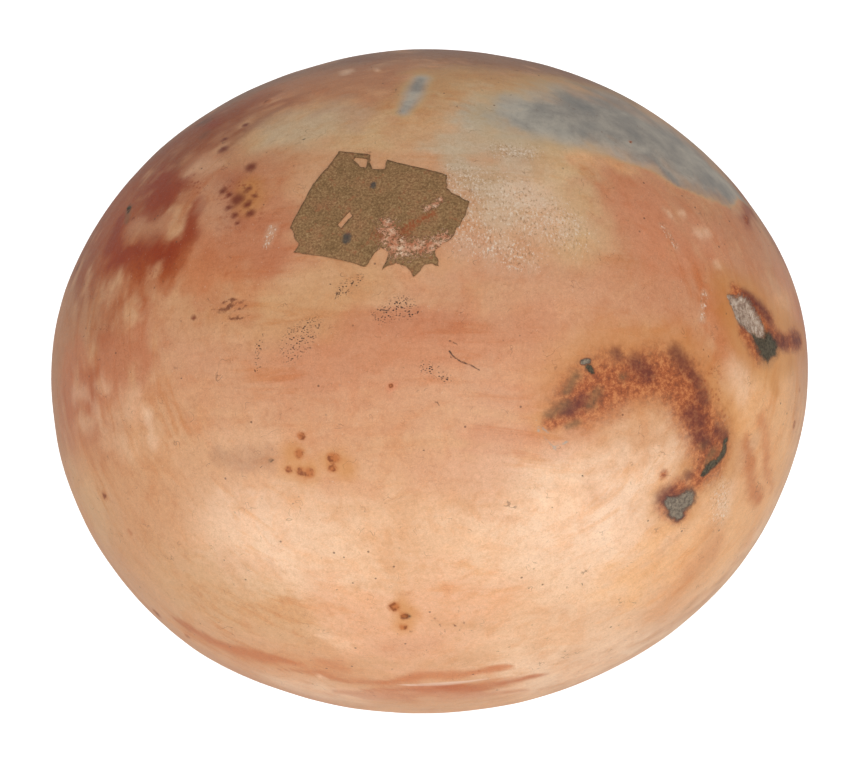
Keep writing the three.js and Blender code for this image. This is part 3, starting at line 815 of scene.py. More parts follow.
def paint(mesh, points, inside):
    """Stores the rind's colours and stains on its vertices, for its material, with a painted highlight line
    near the rim.
    """
    spots, along, angle = crown_map(points)
    solid = points / MM
    warp = np.column_stack([wander(solid, 13, 3), wander(solid, 13, 7)]) * 1.6
    warp += np.column_stack([wander(solid, 4, 11), wander(solid, 4, 13)]) * 0.6
    broad = spots + warp
    fine = spots + warp * 0.22

    # Burnishing drew the colours out: round the gourd near its widest ring, and straight across the crown.
    around = np.column_stack([along / 3.2, np.cos(angle) * 9, np.sin(angle) * 9])
    flat = np.column_stack([spots[:, 0] / 20, spots[:, 1] / 2.6])
    edge_share = smoothstep(along, 26, 58)
    streaks = edge_share * wander(around, 1, 21) + (1 - edge_share) * wander(flat, 1, 23)
    streaks += 0.6 * edge_share * wander(around * 2.7, 1, 25)
    mottle = wander(solid, 5, 31)
    crinkle = wander(solid, 1.9, 33)
    colour = np.tile(PEACH, (len(points), 1))
    for tone, path, width, strength, *other in WASHES:
        soft = other[0] if other else WASH_SOFTNESS
        near = closeness(broad, path, width) + 0.44 * streaks + 0.24 * mottle + 0.2 * crinkle
        share = (strength * smoothstep(near, -soft, soft))[:, None]
        colour = colour * (1 - share) + tone * share
    neck = smoothstep(along, 165, 195)[:, None]
    colour = colour * (1 - 0.55 * neck) + BROWN * 0.55 * neck

    edge = np.interp(spots[:, 0], SMOKE_EDGE["x"], SMOKE_EDGE["y"])
    softness = np.interp(spots[:, 0], SMOKE_EDGE_SOFTNESS["x"], SMOKE_EDGE_SOFTNESS["mm"])
    above = (fine[:, 1] - edge) / softness
    cloud = np.minimum(closeness(broad, SMOKE_PATH, SMOKE_WIDTH) * 1.5, above) + 0.18 * streaks
    small = union(fine, SMALL_SMOKE)
    far = 0.9 * union(broad + 1.5 * warp, FAR_SMOKE) + 0.3 * mottle + 0.3 * streaks
    far = np.minimum(far, FAR_SMOKE_LIMIT)
    fields = {
        "smoke": np.clip(np.maximum(np.maximum(cloud, small), far), -2, 2),
        "smoke_dark": np.clip(union(broad, SMOKE_DARKS), -2, 1),
        "amber": union(fine, AMBERS),
        "stain": union(fine, STAINS),
        "maroon": union(fine, MAROONS),
        "crust": union(fine, CRUSTS),
        "grey_crust": union(fine, GREY_CRUSTS),
        "spot": circles(fine, SPOTS),
        "red_spot": circles(fine, RED_SPOTS),
        "smudge": union(fine, SMUDGES),
        "rash": union(fine, RASHES),
        "speck": union(fine, SPECKS),
        "mark": hairlines(spots, MARKS, 0.37),
        "scratch": hairlines(fine, SCRATCHES, 0.45),
        "grey_scratch": hairlines(fine, GREY_SCRATCHES, 0.5),
        "scuff": union(fine, SCUFFS),
        "chip": closeness(spots + warp * 0.1, *CHIP),
        "painted_highlight": closeness(spots, *PAINTED_HIGHLIGHT_LINE),
    }
    for name, values in fields.items():
        set_field(mesh, name, np.where(inside, -4.0, np.maximum(values, -4.0)))
    set_field(mesh, "inside", inside.astype(float))
    set_field(mesh, "edge", edge_share)
    set_colour(mesh, "wash", np.clip(colour, 0, 1))
    set_vector(mesh, "crown", np.column_stack([spots, np.zeros(len(spots))]))
    set_vector(mesh, "round", around)


# ---------------------------------------------------------------- the rind

def rind_material():
    """Burnished rind: washes of colour, long streaks, smoke, iron stains, crusts, marks, a chip and a
    painted highlight line near the rim.
    """
    polish = {"Roughness": 0.4, "IOR": 1.42, "Specular_IOR_Level": 0.42}
    tree = Tree("burnished_rind", **polish, Coat_Weight=0.12, Coat_Roughness=0.34)
    where = tree.place()
    broad = tree.noise(60, where, 4, 0.6)
    middle = tree.noise(210, where, 5, 0.66)
    grain = tree.noise(1300, where, 4, 0.75)
    fine = tree.noise(3800, where, 2, 0.6)
    rough_edge = tree.math("SUBTRACT", tree.noise(700, where, 6, 0.82), 0.5)

    def ragged_field(name, strength):
        return tree.plus(tree.attribute(name), tree.times(rough_edge, strength))

    # The skin's colours ran and dried like washes of paint, at several sizes.
    colour = tree.tint(tree.attribute("wash", "Color"), 1.0, (1.0, 0.965, 0.9))
    for scale, shift, low, high, strength, tint in RUN_COLOURS:
        run = tree.noise(scale, tree.moved(where, shift), 6, 0.62, distort=1.3)
        colour = tree.tint(colour, tree.ease(run, low, high, 0, strength), tint)

    # Streaks of the burnisher, long round the gourd near its widest ring and straight across the crown.
    long_round = tree.stretch(tree.attribute("round", "Vector"), (0.9, 0.42, 0.42))
    ring_streak = tree.noise(1.0, long_round, 6, 0.66, distort=0.5)
    long_across = tree.stretch(tree.attribute("crown", "Vector"), (0.04, 0.28, 1))
    flat_streak = tree.noise(1.0, long_across, 6, 0.66, distort=0.5)
    blend = tree.node("Mix", {0: tree.attribute("edge"), 2: flat_streak, 3: ring_streak})
    rubbed = tree.ease(tree.noise(42, where, 3), 0.4, 0.62, 0.3, 1.0)
    dark_streak = tree.times(tree.ease(blend, 0.5, 0.66, 0, 0.85), rubbed)
    colour = tree.tint(colour, dark_streak, (0.93, 0.77, 0.6))
    pale_streak = tree.times(tree.ease(blend, 0.48, 0.33, 0, 0.8), rubbed)
    colour = tree.tint(colour, pale_streak, (1.07, 1.1, 1.12))

    # Grain, pores and pale dust.
    colour = tree.tint(colour, tree.ease(grain, 0.52, 0.36, 0, 0.5), (0.86, 0.8, 0.74))
    colour = tree.tint(colour, tree.ease(grain, 0.54, 0.68, 0, 0.4), (1.08, 1.09, 1.1))
    colour = tree.tint(colour, tree.ease(fine, 0.48, 0.64, 0, 0.7), (1.12, 1.12, 1.12))
    pores = tree.times(tree.ease(fine, 0.4, 0.3), tree.ease(middle, 0.4, 0.6, 0.1, 0.6))
    colour = tree.tint(colour, pores, (0.76, 0.66, 0.58))

    # Pale grit where the rind is rubbed, and a few flecks anywhere.
    scuff = tree.ease(tree.attribute("scuff"), -0.8, 0.9)
    film = tree.times(scuff, tree.ease(middle, 0.42, 0.6, 0, 0.4))
    colour = tree.mix(film, colour, srgb(222, 190, 160))
    fleck_noise = tree.noise(2500, tree.stretch(where, (1, 0.55, 1)), 4, 0.75)
    flecks = tree.ease(tree.plus(fleck_noise, tree.times(scuff, 0.1)), 0.64, 0.7)
    flecks = tree.times(flecks, tree.ease(scuff, 0, 0.7, 0.35, 0.85))
    colour = tree.mix(flecks, colour, srgb(238, 218, 196))
    dirt = tree.times(tree.ease(fleck_noise, 0.43, 0.36), tree.ease(scuff, 0.1, 0.9, 0, 0.8))
    colour = tree.mix(dirt, colour, srgb(150, 108, 74))

    # Smoke: a pale grey cloud with darker curdled patches, and a yellow border.
    drift = tree.times(tree.math("SUBTRACT", middle, 0.5), 0.6)
    smoke = tree.plus(tree.attribute("smoke"), drift)
    halo = tree.times(tree.ease(smoke, -0.8, -0.05), tree.ease(smoke, 0.6, 0.0))
    colour = tree.mix(tree.times(halo, 0.4), colour, srgb(208, 174, 124))
    cloudy = tree.noise(150, tree.moved(where, (0.2, 0.1, 0.7)), 7, 0.62, distort=0.3)
    curdle = tree.plus(cloudy, tree.ease(tree.attribute("smoke_dark"), -1.2, 1.0, 0.07, -0.1))
    grey = tree.ramp(curdle, (0.2, SMOKE_BLUE), (0.42, SMOKE_DARK), (0.62, SMOKE), (0.85, PALE_GREY))
    grey = tree.tint(grey, tree.ease(grain, 0.52, 0.34, 0, 0.6), (0.8, 0.79, 0.78))
    grey = tree.tint(grey, tree.ease(fine, 0.55, 0.7, 0, 0.5), (1.14, 1.14, 1.14))
    colour = tree.mix(tree.ease(smoke, -0.45, 0.9, 0, 0.97), colour, grey)

    # Iron stains: an amber glow, rust, maroon hearts, black and grey crusts.
    amber = ragged_field("amber", 0.9)
    colour = tree.mix(tree.ease(amber, -0.9, 0.7, 0, 0.6), colour, srgb(204, 136, 68))
    stain = ragged_field("stain", 1.3)
    mottle = tree.noise(900, where, 5, 0.78)
    rusts = (0.1, srgb(118, 44, 20)), (0.5, srgb(166, 78, 36)), (0.9, srgb(204, 126, 74))
    rust = tree.ramp(tree.ease(mottle, 0.3, 0.7), *rusts)
    colour = tree.mix(tree.ease(stain, -0.7, 0.7, 0, 0.86), colour, rust)
    smudge = tree.ease(ragged_field("smudge", 2.2), -0.5, 1.2, 0, 0.7)
    colour = tree.mix(smudge, colour, srgb(116, 90, 58))
    maroon = ragged_field("maroon", 1.5)
    colour = tree.mix(tree.ease(maroon, -1.0, 1.0, 0, 0.68), colour, srgb(86, 26, 30))
    crust = ragged_field("crust", 2.2)
    crust_share = tree.ease(crust, -0.3, 0.35, 0, 0.95)
    curd = tree.noise(1500, where, 4, 0.75)
    colour = tree.mix(tree.ease(crust, -1.0, 0.0, 0, 0.35), colour, srgb(84, 62, 40))
    black = tree.ramp(curd, (0.35, srgb(44, 40, 30)), (0.65, srgb(100, 94, 74)))
    colour = tree.mix(crust_share, colour, black)
    grey_crust = ragged_field("grey_crust", 1.6)
    grey_share = tree.ease(grey_crust, -0.15, 0.3, 0, 0.9)
    ashy = tree.ramp(curd, (0.34, srgb(92, 84, 74)), (0.5, srgb(132, 122, 106)), (0.66, srgb(166, 152, 132)))
    colour = tree.mix(tree.ease(grey_crust, -0.6, 0.0, 0, 0.6), colour, srgb(76, 46, 44))
    colour = tree.mix(grey_share, colour, ashy)

    # Golden spots, some with a broken dark rim, red ones and rashes, then scratches, black marks and specks.
    spot = ragged_field("spot", 1.2)
    colour = tree.mix(tree.ease(spot, -0.6, 0.5, 0, 0.8), colour, srgb(186, 102, 44))
    rim = tree.times(tree.ease(spot, -0.1, 0.3), tree.ease(spot, 0.95, 0.35))
    rim = tree.times(rim, tree.ease(tree.noise(520, where, 3), 0.44, 0.58, 0, 0.85))
    colour = tree.mix(rim, colour, srgb(128, 62, 22))
    cells = tree.cells(1050.0, tree.stretch(where, (1, 1.2, 1)))
    zone = tree.ease(ragged_field("rash", 1.0), -0.6, 0.9)
    dots = tree.times(tree.ease(cells, 0.5, 0.2), tree.ease(middle, 0.45, 0.56))
    colour = tree.mix(tree.times(tree.times(dots, zone), 0.6), colour, srgb(150, 60, 26))
    red_spot = tree.ease(ragged_field("red_spot", 1.2), -0.8, 0.7, 0, 0.88)
    colour = tree.mix(red_spot, colour, srgb(116, 40, 18))
    scratch = tree.ease(ragged_field("scratch", 2.6), 0.35, 1.0, 0, 0.85)
    colour = tree.mix(scratch, colour, srgb(116, 60, 34))
    mark = tree.ease(ragged_field("mark", 2.6), 0.45, 1.0, 0, 0.9)
    colour = tree.mix(mark, colour, srgb(50, 30, 20))
    cells = tree.cells(2100.0, tree.stretch(where, (1, 1.4, 1)))
    zone = tree.ease(ragged_field("speck", 1.0), -0.3, 0.7)
    dots = tree.times(tree.ease(cells, 0.46, 0.3), tree.ease(grain, 0.45, 0.52))
    colour = tree.mix(tree.times(dots, zone), colour, srgb(54, 34, 22))
    grey_scratch = tree.ease(ragged_field("grey_scratch", 3.0), 0.5, 1.1, 0, 0.8)
    colour = tree.mix(grey_scratch, colour, srgb(174, 162, 148))
    for scale, shift, thickness, low, strength, tint in HAIRS:
        height = tree.noise(scale, tree.moved(where, shift), 3, 0.6)
        level = tree.math("ABSOLUTE", tree.math("SUBTRACT", height, 0.5))
        here = tree.ease(tree.noise(230, tree.moved(where, shift), 2), low, low + 0.04, 0, strength)
        colour = tree.mix(tree.times(tree.ease(level, thickness, 0.0), here), colour, srgb(*tint))
    stray_cells = tree.cells(260.0, where)
    stray = tree.times(tree.ease(stray_cells, 0.07, 0.04), tree.ease(broad, 0.47, 0.56, 0, 0.75))
    colour = tree.mix(stray, colour, srgb(104, 66, 46))

    # The chip: pale torn fibres.
    chip = ragged_field("chip", 0.9)
    fibres = tree.noise(1700, tree.stretch(where, (1, 0.6, 0.6)), 4, 0.7)
    chip_tones = (0.32, srgb(126, 98, 82)), (0.5, srgb(182, 156, 136)), (0.68, srgb(218, 200, 182))
    chip_tone = tree.ramp(fibres, *chip_tones)
    chip_share = tree.times(tree.ease(chip, 0.0, 0.3), tree.math("SUBTRACT", 1.0, crust_share))
    colour = tree.mix(chip_share, colour, chip_tone)
    # Painted highlight: a soft near-white line near the rim.
    painted_highlight = tree.ease(tree.attribute("painted_highlight"), -0.3, 0.9, 0, 0.5)
    colour = tree.mix(painted_highlight, colour, srgb(250, 226, 206))
    pith = tree.ramp(middle, (0.35, srgb(158, 124, 84)), (0.65, srgb(196, 168, 128)))
    colour = tree.mix(tree.attribute("inside"), colour, pith)
    tree.shade("Base Color", colour)

    dull = tree.math("MAXIMUM", flecks, crust_share)
    dull = tree.math("MAXIMUM", dull, tree.math("MAXIMUM", chip_share, grey_share))
    rough = tree.ease(grain, 0.25, 0.75, 0.34, 0.5)
    rough = tree.node("Mix", {0: tree.ease(stain, -0.2, 0.6, 0, 0.5), 2: rough, 3: 0.62})
    rough = tree.node("Mix", {0: dull, 2: rough, 3: 0.8})
    tree.shade("Roughness", rough)

    skin = tree.bump(grain, 0.0001, 0.2)
    skin = tree.bump(blend, 0.0003, 0.2, skin)
    skin = tree.bump(flecks, 0.00008, 0.5, skin)
    scab = tree.times(tree.math("MAXIMUM", crust_share, grey_share), curd)
    skin = tree.bump(scab, 0.0004, 0.9, skin)
    skin = tree.bump(mark, -0.0001, 0.4, skin)
    skin = tree.bump(tree.times(chip_share, fibres), 0.0006, 0.9, skin)
    tree.shade("Normal", skin)
    return tree.material


# How finely the rind is divided.
COLUMNS = 372
CROWN_ROWS = 118
RIM_ROWS = 40
BODY_ROWS = 46
LIP_ROWS = 6
CAVITY_ROWS = (26, 24, 3)
CROWN_ANGLE = math.radians(58)


def dent(points):
    """How far the natural rind lies outside its smooth shape (or inside, if negative)."""
    solid = points / MM
    off_axis = polar(points)[1] / MM
    calm = smoothstep(points[:, 2], LIP_Z + NECK_LENGTH, LIP_Z + 2.5 * NECK_LENGTH)
    calm *= smoothstep(off_axis, 3, 12)
    return calm * (0.22 * wander(solid, 24, 41, 2) + 0.05 * wander(solid, 7, 43, 2)) * MM


def outward_from_head(points):
    away = points - np.array(HEAD_CENTRE)
    return away / np.linalg.norm(away, axis=1)[:, None]


def on_crown(spots, lift):
    """Points at places on the crown map, a distance off the rind."""
    line = outline(even(MAP_STEPS), 1, 1)[: MAP_STEPS + 1]
    run = arc_lengths(line)
    angle, away = polar(spots)
    along = away * MM
    radius, z = np.interp(along, run, line[:, 0]), np.interp(along, run, line[:, 1])
    radius = radius * swelling(angle, z)
    points = np.column_stack([radius * np.cos(angle), radius * np.sin(angle), z])
    return points + outward_from_head(points) * (dent(points) + lift)[:, None]


def is_inside(points):
    """Whether points of the rind belong to its hollow side."""
    angle, away = polar(points)
    radius = away / swelling(angle, points[:, 2])
    line = outline(even(1), MAP_STEPS, MAP_NECK_STEPS)[1:]
    side = np.interp(-points[:, 2], -line[:, 1], line[:, 0]) - radius
    above = MEAN_RADIUS * (1 - np.hypot(radius / MEAN_RADIUS, (points[:, 2] - WIDEST_Z) / CROWN_RISE))
    return np.where(points[:, 2] > WIDEST_Z, above, side) > WALL / 2


def make_rind():
    """The gourd: hollow, with its outside, its lip and its rough inside."""
    crown = np.linspace(0, CROWN_ANGLE, CROWN_ROWS, endpoint=False)
    rim = np.linspace(CROWN_ANGLE, math.pi / 2, RIM_ROWS)
    outside = outline([*crown, *rim], BODY_ROWS, LIP_ROWS)
    dome_rows, side_rows, neck_rows = CAVITY_ROWS
    cavity = inset(outline(even(dome_rows), side_rows, neck_rows), WALL)
    cavity[-1, 1] = LIP_Z
    line = np.vstack([outside, cavity[::-1]])
    vertices, faces = lathe(line, COLUMNS)
    angle, _ = polar(vertices)
    vertices[:, :2] *= swelling(angle, vertices[:, 2])[:, None]
    inside = is_inside(vertices)
    spots, _, _ = crown_map(vertices)
    chipped = smoothstep(closeness(spots, *CHIP), 0.0, 0.45) * CHIP_DEPTH
    above_neck = smoothstep(vertices[:, 2], LIP_Z + 2 * NECK_LENGTH, LIP_Z + 3 * NECK_LENGTH)
    fibrous = 0.25 * MM * wander(vertices / MM, 4, 45, 3) * above_neck
    push = np.where(inside, fibrous, dent(vertices) - chipped)
    vertices += outward_from_head(vertices) * push[:, None]

    piece = make_piece("gourd_rind", vertices, faces, "gourd_shell", "rattle", rind_material())
    drill_peg_holes(piece)
    points = np.empty(3 * len(piece.data.vertices))
    piece.data.vertices.foreach_get("co", points)
    points = points.reshape(-1, 3)
    paint(piece.data, points, is_inside(points))


# ---------------------------------------------------------------- the label

# The torn outline of the label on the crown map: x, y, and how ragged the edge is that starts there.
LABEL_OUTLINE = [
    (-18, 35.5, 0.1), (-12, 34.5, 0.25), (-11.5, 30.5, 0.25), (-9, 30.5, 0.2), (-8.5, 33, 0.06),
    (1.5, 30, 0.2), (3, 29, 0.3), (3, 26, 0.3), (7.5, 23, 0.15), (5.5, 17.5, 0.35), (3.3, 15, 0.4),
    (1.2, 13, 0.4), (1.5, 9.5, 0.35), (-1.2, 10.2, 0.35), (-3.4, 7.5, 0.3), (-4.5, 9.5, 0.3),
    (-6.5, 10.3, 0.3), (-8.7, 8.7, 0.3), (-7.6, 12, 0.4), (-9.2, 13, 0.35), (-11.7, 9.2, 0.1),
    (-16.5, 10.8, 0.12), (-24, 12.5, 0.3), (-23.3, 14.5, 0.4), (-25.3, 17.5, 0.08), (-22.8, 26, 0.15),
    (-20, 31, 0.25),
]
LABEL_HOLES = [
    [(-14.8, 33.8, 0.12), (-12.3, 33.3, 0.12), (-12.4, 31, 0.15), (-13.4, 31, 0.15), (-15.2, 33, 0.15)],
    [(-15, 20.8, 0.12), (-14.4, 19.8, 0.12), (-16.2, 17.1, 0.1), (-16.9, 17.8, 0.12)],
]
# Where the paper is worn through, rusted and inked: path and half-width.
LABEL_WEAR = [
    ([(-8, 18), (-6.6, 13), (-1, 13.4), (3, 15.6)], [3, 4, 3, 2]), ([(-1, 21.4), (2, 23.4)], [1.4, 1.2]),
]
LABEL_RUST = [([(-9, 15.6), (-6, 15.4), (-3.6, 18)], [2.6, 3, 1.6]), ([(-3.6, 18), (0.4, 20.6)], [0.8, 1.4])]
LABEL_INK = [([(-10.9, 27.2), (-11, 26.4)], 0.5), ([(-15, 15.4), (-15.1, 14.4)], 0.7)]
LABEL_THICKNESS = 0.14 * MM
LABEL_GAP = 0.03 * MM


def ragged(corners, step, seed):
    """A torn outline: straight from corner to corner, then pushed aside by noise."""
    points, torn = [], []
    for (ax, ay, rough), (bx, by, _) in zip(corners, corners[1:] + corners[:1]):
        count = max(2, round(math.hypot(bx - ax, by - ay) / step))
        for i in range(count):
            share = i / count
            points.append((ax + (bx - ax) * share, ay + (by - ay) * share))
            torn.append(rough)
    points = np.array(points)
    aside = np.column_stack([wander(points, 1.7, seed, 4), wander(points, 1.7, seed + 5, 4)])
    return points + aside * np.array(torn)[:, None]


def is_within(points, loop):
    """Whether each point lies inside a closed outline."""
    crossings = np.zeros(len(points), int)
    for a, b in zip(loop, np.roll(loop, -1, axis=0)):
        spans = (a[1] > points[:, 1]) != (b[1] > points[:, 1])
        rise = b[1] - a[1] if b[1] != a[1] else 1e-12
        at = a[0] + (points[:, 1] - a[1]) * (b[0] - a[0]) / rise
        crossings += spans & (points[:, 0] < at)
    return crossings % 2 == 1


def label_sheet():
    """The torn sheet laid flat: its points on the crown map and its triangles."""
    outer = ragged(LABEL_OUTLINE, 0.3, 51)
    holes = [ragged(hole, 0.25, 61 + i) for i, hole in enumerate(LABEL_HOLES)]
    loops = [outer, *holes]
    low, high = outer.min(axis=0), outer.max(axis=0)
    rows, columns = np.meshgrid(np.arange(low[1], high[1], 0.6), np.arange(low[0], high[0], 0.6))
    grid = np.column_stack([columns.ravel(), rows.ravel()])
    grid += 0.12 * np.column_stack([wander(grid, 0.9, 71, 1), wander(grid, 0.9, 73, 1)])
    border = np.vstack(loops)
    clear = np.array([np.min(np.hypot(*(border - p).T)) > 0.3 for p in grid])
    grid = grid[clear & is_within(grid, outer)]
    points = [Vector(p) for p in np.vstack([border, grid])]
    edges, start = [], 0
    for loop in loops:
        edges += [(start + i, start + (i + 1) % len(loop)) for i in range(len(loop))]
        start += len(loop)
    flat, _, triangles, *_ = delaunay_2d_cdt(points, edges, [], 0, 1e-6)
    flat = np.array([tuple(p) for p in flat])
    triangles = np.array([t for t in triangles if len(t) == 3])
    middles = flat[triangles].mean(axis=1)
    kept = is_within(middles, outer)
    for hole in holes:
        kept &= ~is_within(middles, hole)
    triangles = triangles[kept]
    used = np.unique(triangles)
    renumber = np.zeros(len(flat), int)
    renumber[used] = np.arange(len(used))
    return flat[used], renumber[triangles], loops


def label_material():
    """Old brown paper: mottled fibres, rust, ink spots, and wear that shows the rind's colour through it."""
    tree = Tree("old_paper", Roughness=0.88, IOR=1.4)
    where = tree.place()
    blotch = tree.noise(260, where, 4, 0.6)
    fibre = tree.noise(2500, where, 3, 0.75)
    browns = (0.32, srgb(138, 106, 68)), (0.5, srgb(156, 120, 80)), (0.7, srgb(164, 120, 82))
    colour = tree.ramp(blotch, *browns)
    colour = tree.mix(tree.ease(fibre, 0.36, 0.56, 0.6, 0), colour, srgb(96, 66, 40))
    colour = tree.mix(tree.ease(fibre, 0.54, 0.72, 0, 0.6), colour, srgb(200, 166, 122))
    warm = tree.noise(700, where, 4, 0.7)
    colour = tree.mix(tree.ease(warm, 0.56, 0.68, 0, 0.5), colour, srgb(166, 98, 64))
    torn = tree.math("SUBTRACT", tree.noise(1900, where, 5, 0.8), 0.5)
    rust = tree.plus(tree.attribute("rust"), tree.times(torn, 4.6))
    colour = tree.mix(tree.ease(rust, 0.1, 1.1, 0, 0.72), colour, srgb(158, 74, 36))
    ink = tree.plus(tree.attribute("ink"), tree.times(torn, 1.6))
    colour = tree.mix(tree.ease(ink, -0.5, 0.5, 0, 0.75), colour, srgb(52, 62, 66))
    edge = tree.plus(tree.attribute("rim"), tree.times(torn, 1.2))
    colour = tree.mix(tree.ease(edge, 0.4, 0.0, 0, 0.35), colour, srgb(96, 66, 42))
    wear = tree.plus(tree.attribute("wear"), tree.times(torn, 4.2))
    worn = tree.ease(wear, 0.5, 0.7)
    skin_tones = (0.4, srgb(186, 118, 84)), (0.55, srgb(212, 160, 128)), (0.7, srgb(228, 200, 170))
    bare = tree.ramp(warm, *skin_tones)
    colour = tree.mix(worn, colour, bare)
    tree.shade("Base Color", colour)
    skin = tree.bump(fibre, 0.00012, 0.7)
    skin = tree.bump(worn, -0.0001, 0.8, skin)
    tree.shade("Normal", skin)
    return tree.material


def make_label():
    """A thin torn sheet with its own thickness, glued down on the crown. Its edges stand up a little."""
    flat, triangles, loops = label_sheet()
    border = np.vstack(loops)
    rim = np.array([np.min(np.hypot(*(border - p).T)) for p in flat])
    curl = 0.16 * MM * np.clip(wander(flat, 5, 81, 2), 0, 1) * (1 - smoothstep(rim, 0, 1.6))
    wrinkle = 0.03 * MM * wander(flat, 3, 83, 2)
    under = LABEL_GAP + np.abs(wrinkle) + curl
    top = on_crown(flat, under + LABEL_THICKNESS)
    bottom = on_crown(flat, under)
    count = len(flat)
    sides = {}
    for a, b, c in triangles:
        for edge in ((a, b), (b, c), (c, a)):
            if edge[::-1] in sides:
                del sides[edge[::-1]]
            else:
                sides[edge] = True
    faces = [tuple(t) for t in triangles.tolist()]
    faces += [(a + count, c + count, b + count) for a, b, c in triangles.tolist()]
    faces += [(int(b), int(a), int(a) + count, int(b) + count) for a, b in sides]
    vertices = np.vstack([top, bottom])
    paper = label_material()
    piece = make_piece("torn_label", vertices, faces, "label_remnant", "rattle", paper)
    twice = np.vstack([flat, flat])
    set_field(piece.data, "wear", np.maximum(union(twice, LABEL_WEAR), -3))
    set_field(piece.data, "rust", np.maximum(union(twice, LABEL_RUST), -3))
    set_field(piece.data, "ink", np.maximum(union(twice, LABEL_INK), -3))
    set_field(piece.data, "rim", np.concatenate([rim, rim]))


# ---------------------------------------------------------------- whittled wood

# The grip's outline, from the butt up to the shoulder: radius and height, in millimetres.
GRIP = [
    (17.8, 1.6), (18.6, 7), (17.2, 14), (12.6, 26), (11.4, 40), (12.6, 62),
    (13.6, 84), (13.2, 102), (14.2, 114), (15.6, 122), (15.6, 136.1),
]
BUTT_FACE = 16
TENON_RADIUS = 10.8
TENON_BEVEL = (1.5, 2)
HANDLE_COLUMNS = 180
PEG_RADIUS = 1.2 * MM
PEG_LENGTH = 8.4 * MM
BORE_SIDES = 28
PEG_SIDES = 40
PEG_NODES = [f"neck_peg_{i}" for i in range(1, 5)]


def spline(points, steps):
    """A smooth curve through points, with that many steps from each to the next."""
    points = np.array(points, float)
    padded = np.vstack([2 * points[0] - points[1], points, 2 * points[-1] - points[-2]])
    t = np.linspace(0, 1, steps, endpoint=False)[:, None]
    runs = []
    for a, b, c, d in zip(padded[:-3], padded[1:-2], padded[2:-1], padded[3:]):
        cubic = 2 * b + (c - a) * t + (2 * a - 5 * b + 4 * c - d) * t**2 + (3 * b - a - 3 * c + d) * t**3
        runs.append(cubic / 2)
    return np.vstack([*runs, points[-1:]])


def whittled(angle, z, cuts):
    """What share of its radius a stick keeps under a knife's flat cuts: (angle, from z, to z, depth)."""
    kept = np.ones(len(angle))
    for at, low, high, depth in cuts:
        run = 0.4 * (high - low)
        window = smoothstep(z, low, low + run) * smoothstep(z, high, high - run)
        away = np.arctan2(np.sin(angle - at), np.cos(angle - at))
        kept = np.minimum(kept, (1 - depth * window) / np.maximum(np.cos(away), 0.5))
    return kept


def knife_cuts(low, high, length, around, depth, seed):
    """Rows of overlapping cuts up a stick."""
    dice = np.random.default_rng(seed)
    cuts = []
    for start in np.arange(low - length / 2, high, length * 0.55):
        turn = dice.uniform(0, 2 * math.pi)
        for i in range(around):
            at = turn + (i + dice.uniform(-0.2, 0.2)) * 2 * math.pi / around
            shift = dice.uniform(-0.2, 0.2) * length
            cuts.append((at, start + shift, start + shift + length, depth * dice.uniform(0.5, 1.1)))
    return cuts


def wood_material(name, pale, dark, ring_width, **shader):
    """Whittled wood: growth rings round a pith that leans, long grain, pores and handling dirt."""
    tree = Tree(name, **shader)
    where = tree.place()
    pith = {"Location": (0.003, -0.002, 0), "Rotation": (0.05, -0.035, 0), "Scale": (1, 1, 0)}
    lean = tree.node("Mapping", {"Vector": where, **pith})
    away = tree.node("VectorMath", {0: lean}, "Value", operation="LENGTH")
    wave = tree.noise(70, tree.stretch(where, (1, 1, 0.12)), 3, 0.5)
    turns = tree.plus(tree.times(away, 2 * math.pi / ring_width), tree.times(wave, 9))
    rings = tree.ease(tree.math("SINE", turns), -0.7, 1.0)
    grain = tree.noise(900, tree.stretch(where, (1, 1, 0.035)), 4, 0.7)
    pores = tree.noise(3200, tree.stretch(where, (1, 1, 0.05)), 2, 0.6)
    colour = tree.mix(tree.times(rings, 0.55), pale, dark)
    colour = tree.mix(tree.ease(grain, 0.42, 0.62, 0, 0.5), colour, dark * 0.8)
    colour = tree.mix(tree.ease(pores, 0.6, 0.7, 0, 0.6), colour, dark * 0.35)
    patina = tree.noise(45, where, 3, 0.55)
    colour = tree.tint(colour, tree.ease(patina, 0.46, 0.66, 0, 0.45), (0.62, 0.54, 0.48))
    colour = tree.tint(colour, tree.ease(patina, 0.46, 0.3, 0, 0.4), (1.25, 1.2, 1.12))
    specks = tree.noise(520, where, 3, 0.7)
    colour = tree.mix(tree.ease(specks, 0.66, 0.74, 0, 0.6), colour, dark * 0.4)
    tree.shade("Base Color", colour)
    tree.shade("Roughness", tree.ease(grain, 0.35, 0.7, 0.38, 0.58))
    skin = tree.bump(grain, 0.00022, 0.6)
    skin = tree.bump(pores, 0.0001, 0.5, skin)
    tree.shade("Normal", skin)
    return tree.material


def handle_line():
    """The handle's outline from the tenon's top down to the middle of the butt, in millimetres."""
    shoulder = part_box("joint_seal")[0].z / MM - 0.3
    tenon_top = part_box("handle")[1].z / MM
    cut, drop = TENON_BEVEL
    end = [(r, tenon_top) for r in np.linspace(0, TENON_RADIUS - cut, 6)]
    tenon = [(TENON_RADIUS, z) for z in np.linspace(tenon_top - drop, shoulder, 28)]
    ledge = [(r, shoulder) for r in np.linspace(TENON_RADIUS, NECK_RADIUS / MM, 5)[1:-1]]
    grip = spline(GRIP, 14)[::-1]
    quarter = np.linspace(0, math.pi / 2, 6)[1:]
    reach, height = GRIP[0][0] - BUTT_FACE, GRIP[0][1]
    edge = [(BUTT_FACE + reach * math.cos(a), height * (1 - math.sin(a))) for a in quarter]
    butt = [(r, 0) for r in np.linspace(BUTT_FACE, 0, 12)[1:]]
    return np.vstack([end, tenon, ledge, grip, edge, butt]), shoulder


